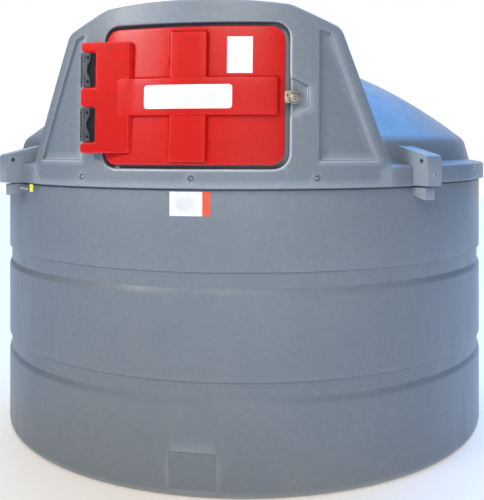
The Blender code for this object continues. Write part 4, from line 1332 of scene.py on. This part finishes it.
class TANK_OT_hasp(bpy.types.Operator):
    """Make the hasp over the door's edge and its round lock"""

    bl_idname = "tank.hasp"
    bl_label = "Hasp and lock"

    def execute(self, context):
        bm = bmesh.new()
        outline = rectangle(*HASP_SIDES, HASP_LEVEL - HASP_HALF, HASP_LEVEL + HASP_HALF, 0.004, steps=5)
        moulding(bm, outline, on_face(-0.0005), on_face(-0.0045), 0.0012, steps=3)
        strap = solid(bm, "hasp_plate")
        x, level = STRAP_HOLE
        y = face_y(x, level)
        hole = bmesh.new()
        rod(hole, 0.0042, -0.02, 0.02, (x, y, level), (x, y, 0), 20)
        carve(strap, solid(hole, "strap_hole"))
        dress(strap, "door", "hasp_metal", "hasp_metal", "hasp_strap")

        x, level = LOCK_PLACE
        y = face_y(x, level, -0.0002)
        outward = Vector((x, y, FACE_LEAN * face_radius(level))).normalized()
        r = context.scene.door_sizes.lock_radius
        bm = bmesh.new()
        turned(bm, softened([
            (0, 0, 0), (r - 0.001, 0, 0), (r, 0.0015, 0.001), (r, 0.0145, 0.0015),
            (r - 0.0030, 0.0155, 0.0010), (r - 0.0034, 0.0065, 0), (r - 0.0066, 0.0065, 0),
            (r - 0.0070, 0.0165, 0.002), (0.010, 0.0178, 0.0015), (0.0088, 0.0150, 0),
            (0.0076, 0.0150, 0), (0.0070, 0.0176, 0.0008), (0, 0.0176, 0),
        ], 4), Vector((x, y, level)), outward, 48)
        lock = solid(bm, "round_lock")
        slots = bmesh.new()
        keyhole = plank(-0.0010, 0.0010, -0.0048, 0.0048)
        seam = plank(-0.0185, 0.0185, 0.0112, 0.0134)
        for slot, low in ((keyhole, 0.010), (seam, 0.012)):
            bar(slots, slot, low, 0.020, 0, facing((x, y, level), outward))
        carve(lock, solid(slots, "lock_slots"))
        dress(lock, "door", "hasp_metal", "hasp_metal", "hasp_lock")
        return {"FINISHED"}


class TANK_OT_plates(bpy.types.Operator):
    """Set the bare plates on the door, the bare label on the wall and the small tag on its stud"""

    bl_idname = "tank.plates"
    bl_label = "Plates and tag"

    def execute(self, context):
        d = context.scene.door_sizes
        radius = context.scene.tank_sizes.body_radius

        def on_rib(x, z, out):
            return face_y(x, z, d.rib_proud + out)

        def on_door(x, z, out):
            return face_y(x, z, d.skin + out)

        def on_wall(x, z, out):
            return -sqrt((radius + out) ** 2 - x * x)

        low, high = 1.077, 1.170
        for name, body, finish, base, thick, rounding, steps, *sides in (
            ("rib_plate", "door", "plate_white", on_rib, 0.0014, 0.012, 6, -0.185, 0.158, 1.485, 1.576),
            ("door_sheet", "door", "plate_white", on_door, 0.0006, 0.002, 3, 0.133, 0.229, 1.620, 1.760),
            ("wall_label", "tank", "plate_white", on_wall, 0.0006, 0.002, 3, -0.0888, 0.0400, low, high),
            ("wall_label_band", "tank", "label_band", on_wall, 0.0006, 0.002, 3, 0.0403, 0.0716, low, high),
        ):
            bm = bmesh.new()
            moulding(
                bm, rectangle(*sides, rounding, steps=steps), lambda x, z: base(x, z, thick),
                lambda x, z: base(x, z, -0.0003), thick * 0.5, steps=2,
            )
            dress(solid(bm, name), body, body + "_plastic", finish)

        turn = Matrix.Rotation(radians(TAG_ANGLE), 4, "Z")
        turn = Matrix.Translation(around(TAG_ANGLE, 1.236, 1.1640)) @ turn
        bm = bmesh.new()
        bar(bm, plank(-0.014, 0.014, -0.0015, 0.0015), -0.0165, 0.0165, 0.0006, turn)
        dress(solid(bm, "small_tag"), "tank", "tank_plastic", "tag_yellow")

        start, end = (around(angle, 1.240, 1.160) for angle in STUD_ENDS)
        along = end - start
        thread = [(0, 0)]
        turns = 12
        for k in range(turns):
            h = along.length * k / turns
            for r, share in ((0.0042, 0.1), (0.0062, 0.45), (0.0062, 0.6), (0.0042, 0.95)):
                thread.append((r, h + share * (along.length / turns)))
        bm = bmesh.new()
        turned(bm, thread + [(0, along.length)], start, along.normalized(), 16)
        for share in (0.10, 0.86):
            rod(bm, 0.0085, -0.003, 0.003, start + along * share, along.normalized(), 6)
        dress(solid(bm, "tag_stud"), "tank", "hasp_metal", "bolt_steel")
        return {"FINISHED"}


# Stage


def light_from(tree):
    """Light of the studio: a white backdrop behind the tank, softer sides and a blue sky overhead."""
    split = node(tree, "SeparateXYZ")
    tree.links.new(node(tree, "TexCoord").outputs["Generated"], split.inputs["Vector"])
    behind, back, above, across = (
        smooth(tree, split.outputs[axis], low, high)
        for axis, low, high in (("Y", 0.74, 0.86), ("Y", 0.05, 0.50), ("Z", 0.38, 0.70), ("X", -0.70, 0.40))
    )
    level = mixed(tree, across, (0.05, 0.07, 0.12), (0.04, 0.07, 0.12))
    near = mixed(tree, across, (0.52, 0.52, 0.52), (0.40, 0.44, 0.50))
    far = mixed(tree, across, (2.40, 2.70, 3.00), (0.55, 2.50, 6.60))
    sides = mixed(tree, behind, level, (1.0, 1.0, 1.0))
    whole = mixed(tree, above, sides, mixed(tree, back, near, far))
    tree.links.new(whole, tree.nodes["Background"].inputs["Color"])


class TANK_OT_stage(bpy.types.Operator):
    """Lay the floor, hang the lights and set the camera"""

    bl_idname = "tank.stage"
    bl_label = "Stage"

    def execute(self, context):
        scene = context.scene
        bm = bmesh.new()
        bmesh.ops.create_grid(bm, x_segments=24, y_segments=24, size=16.0)
        floor = solid(bm, "floor")
        made, tree, shader = new_finish("stage_floor")
        colour = tuple(scene.tank_finishes.floor)
        cloud = noise(tree, stretched(tree), 0.6, 3)
        feed(tree, shader["Base Color"], mixed(tree, cloud, colour, scaled(colour, 0.97)))
        feed(tree, shader["Roughness"], ranged(tree, cloud, 0.3, 0.7, 0.55, 0.7))
        shader["Emission Color"].default_value = (1.0, 0.94, 0.86, 1.0)
        shader["Emission Strength"].default_value = 0.34
        floor.data.materials.append(made)

        scene.world = bpy.data.worlds.new("studio")
        scene.world.use_nodes = True
        light_from(scene.world.node_tree)
        scene.view_settings.view_transform = "Standard"

        for name, (place, aim, wide, beam, energy, colour) in LAMPS.items():
            lamp = bpy.data.lights.new(name, "AREA")
            lamp.size = wide
            lamp.energy = energy
            lamp.spread = radians(beam)
            lamp.color = colour
            light = bpy.data.objects.new(name, lamp)
            light.location = place
            light.rotation_euler = (Vector(aim) - Vector(place)).to_track_quat("-Z", "Y").to_euler()
            scene.collection.objects.link(light)

        lens = bpy.data.cameras.new("camera")
        lens.sensor_width = 36.0
        lens.sensor_fit = "AUTO"
        lens.lens = 53.06
        lens.shift_y = -0.206
        lens.shift_x = -0.005
        camera = bpy.data.objects.new("camera", lens)
        camera.location = (0.659, -3.938, 1.340)
        camera.rotation_euler = (radians(90), 0, radians(9.5))
        scene.collection.objects.link(camera)
        scene.camera = camera
        return {"FINISHED"}


OPERATORS = (
    TANK_OT_finishes, TANK_OT_wall, TANK_OT_lid, TANK_OT_hood, TANK_OT_pillar, TANK_OT_cabinet, TANK_OT_hatch,
    TANK_OT_lugs, TANK_OT_bolts, TANK_OT_door, TANK_OT_hinges, TANK_OT_hasp, TANK_OT_plates, TANK_OT_stage,
)


class TANK_PT_panel(bpy.types.Panel):
    """Lists the tank's pieces"""

    bl_idname = "TANK_PT_panel"
    bl_label = "Storage Tank"
    bl_space_type = "VIEW_3D"
    bl_region_type = "UI"
    bl_category = "Storage Tank"

    def draw(self, context):
        column = self.layout.column()
        for operator in OPERATORS:
            column.operator(operator.bl_idname)
        for group in (context.scene.tank_sizes, context.scene.door_sizes, context.scene.tank_finishes):
            box = self.layout.box()
            for name in group.bl_rna.properties.keys():
                if name not in ("rna_type", "name"):
                    box.prop(group, name)


CLASSES = (TankSizes, DoorSizes, Finishes) + OPERATORS + (TANK_PT_panel,)


def register():
    for item in CLASSES:
        bpy.utils.register_class(item)
    bpy.types.Scene.tank_sizes = PointerProperty(type=TankSizes)
    bpy.types.Scene.door_sizes = PointerProperty(type=DoorSizes)
    bpy.types.Scene.tank_finishes = PointerProperty(type=Finishes)


def unregister():
    del bpy.types.Scene.tank_finishes
    del bpy.types.Scene.door_sizes
    del bpy.types.Scene.tank_sizes
    for item in reversed(CLASSES):
        bpy.utils.unregister_class(item)


def main():
    register()
    for operator in OPERATORS:
        getattr(bpy.ops.tank, operator.bl_idname.split(".")[1])()


if __name__ == "__main__":
    main()
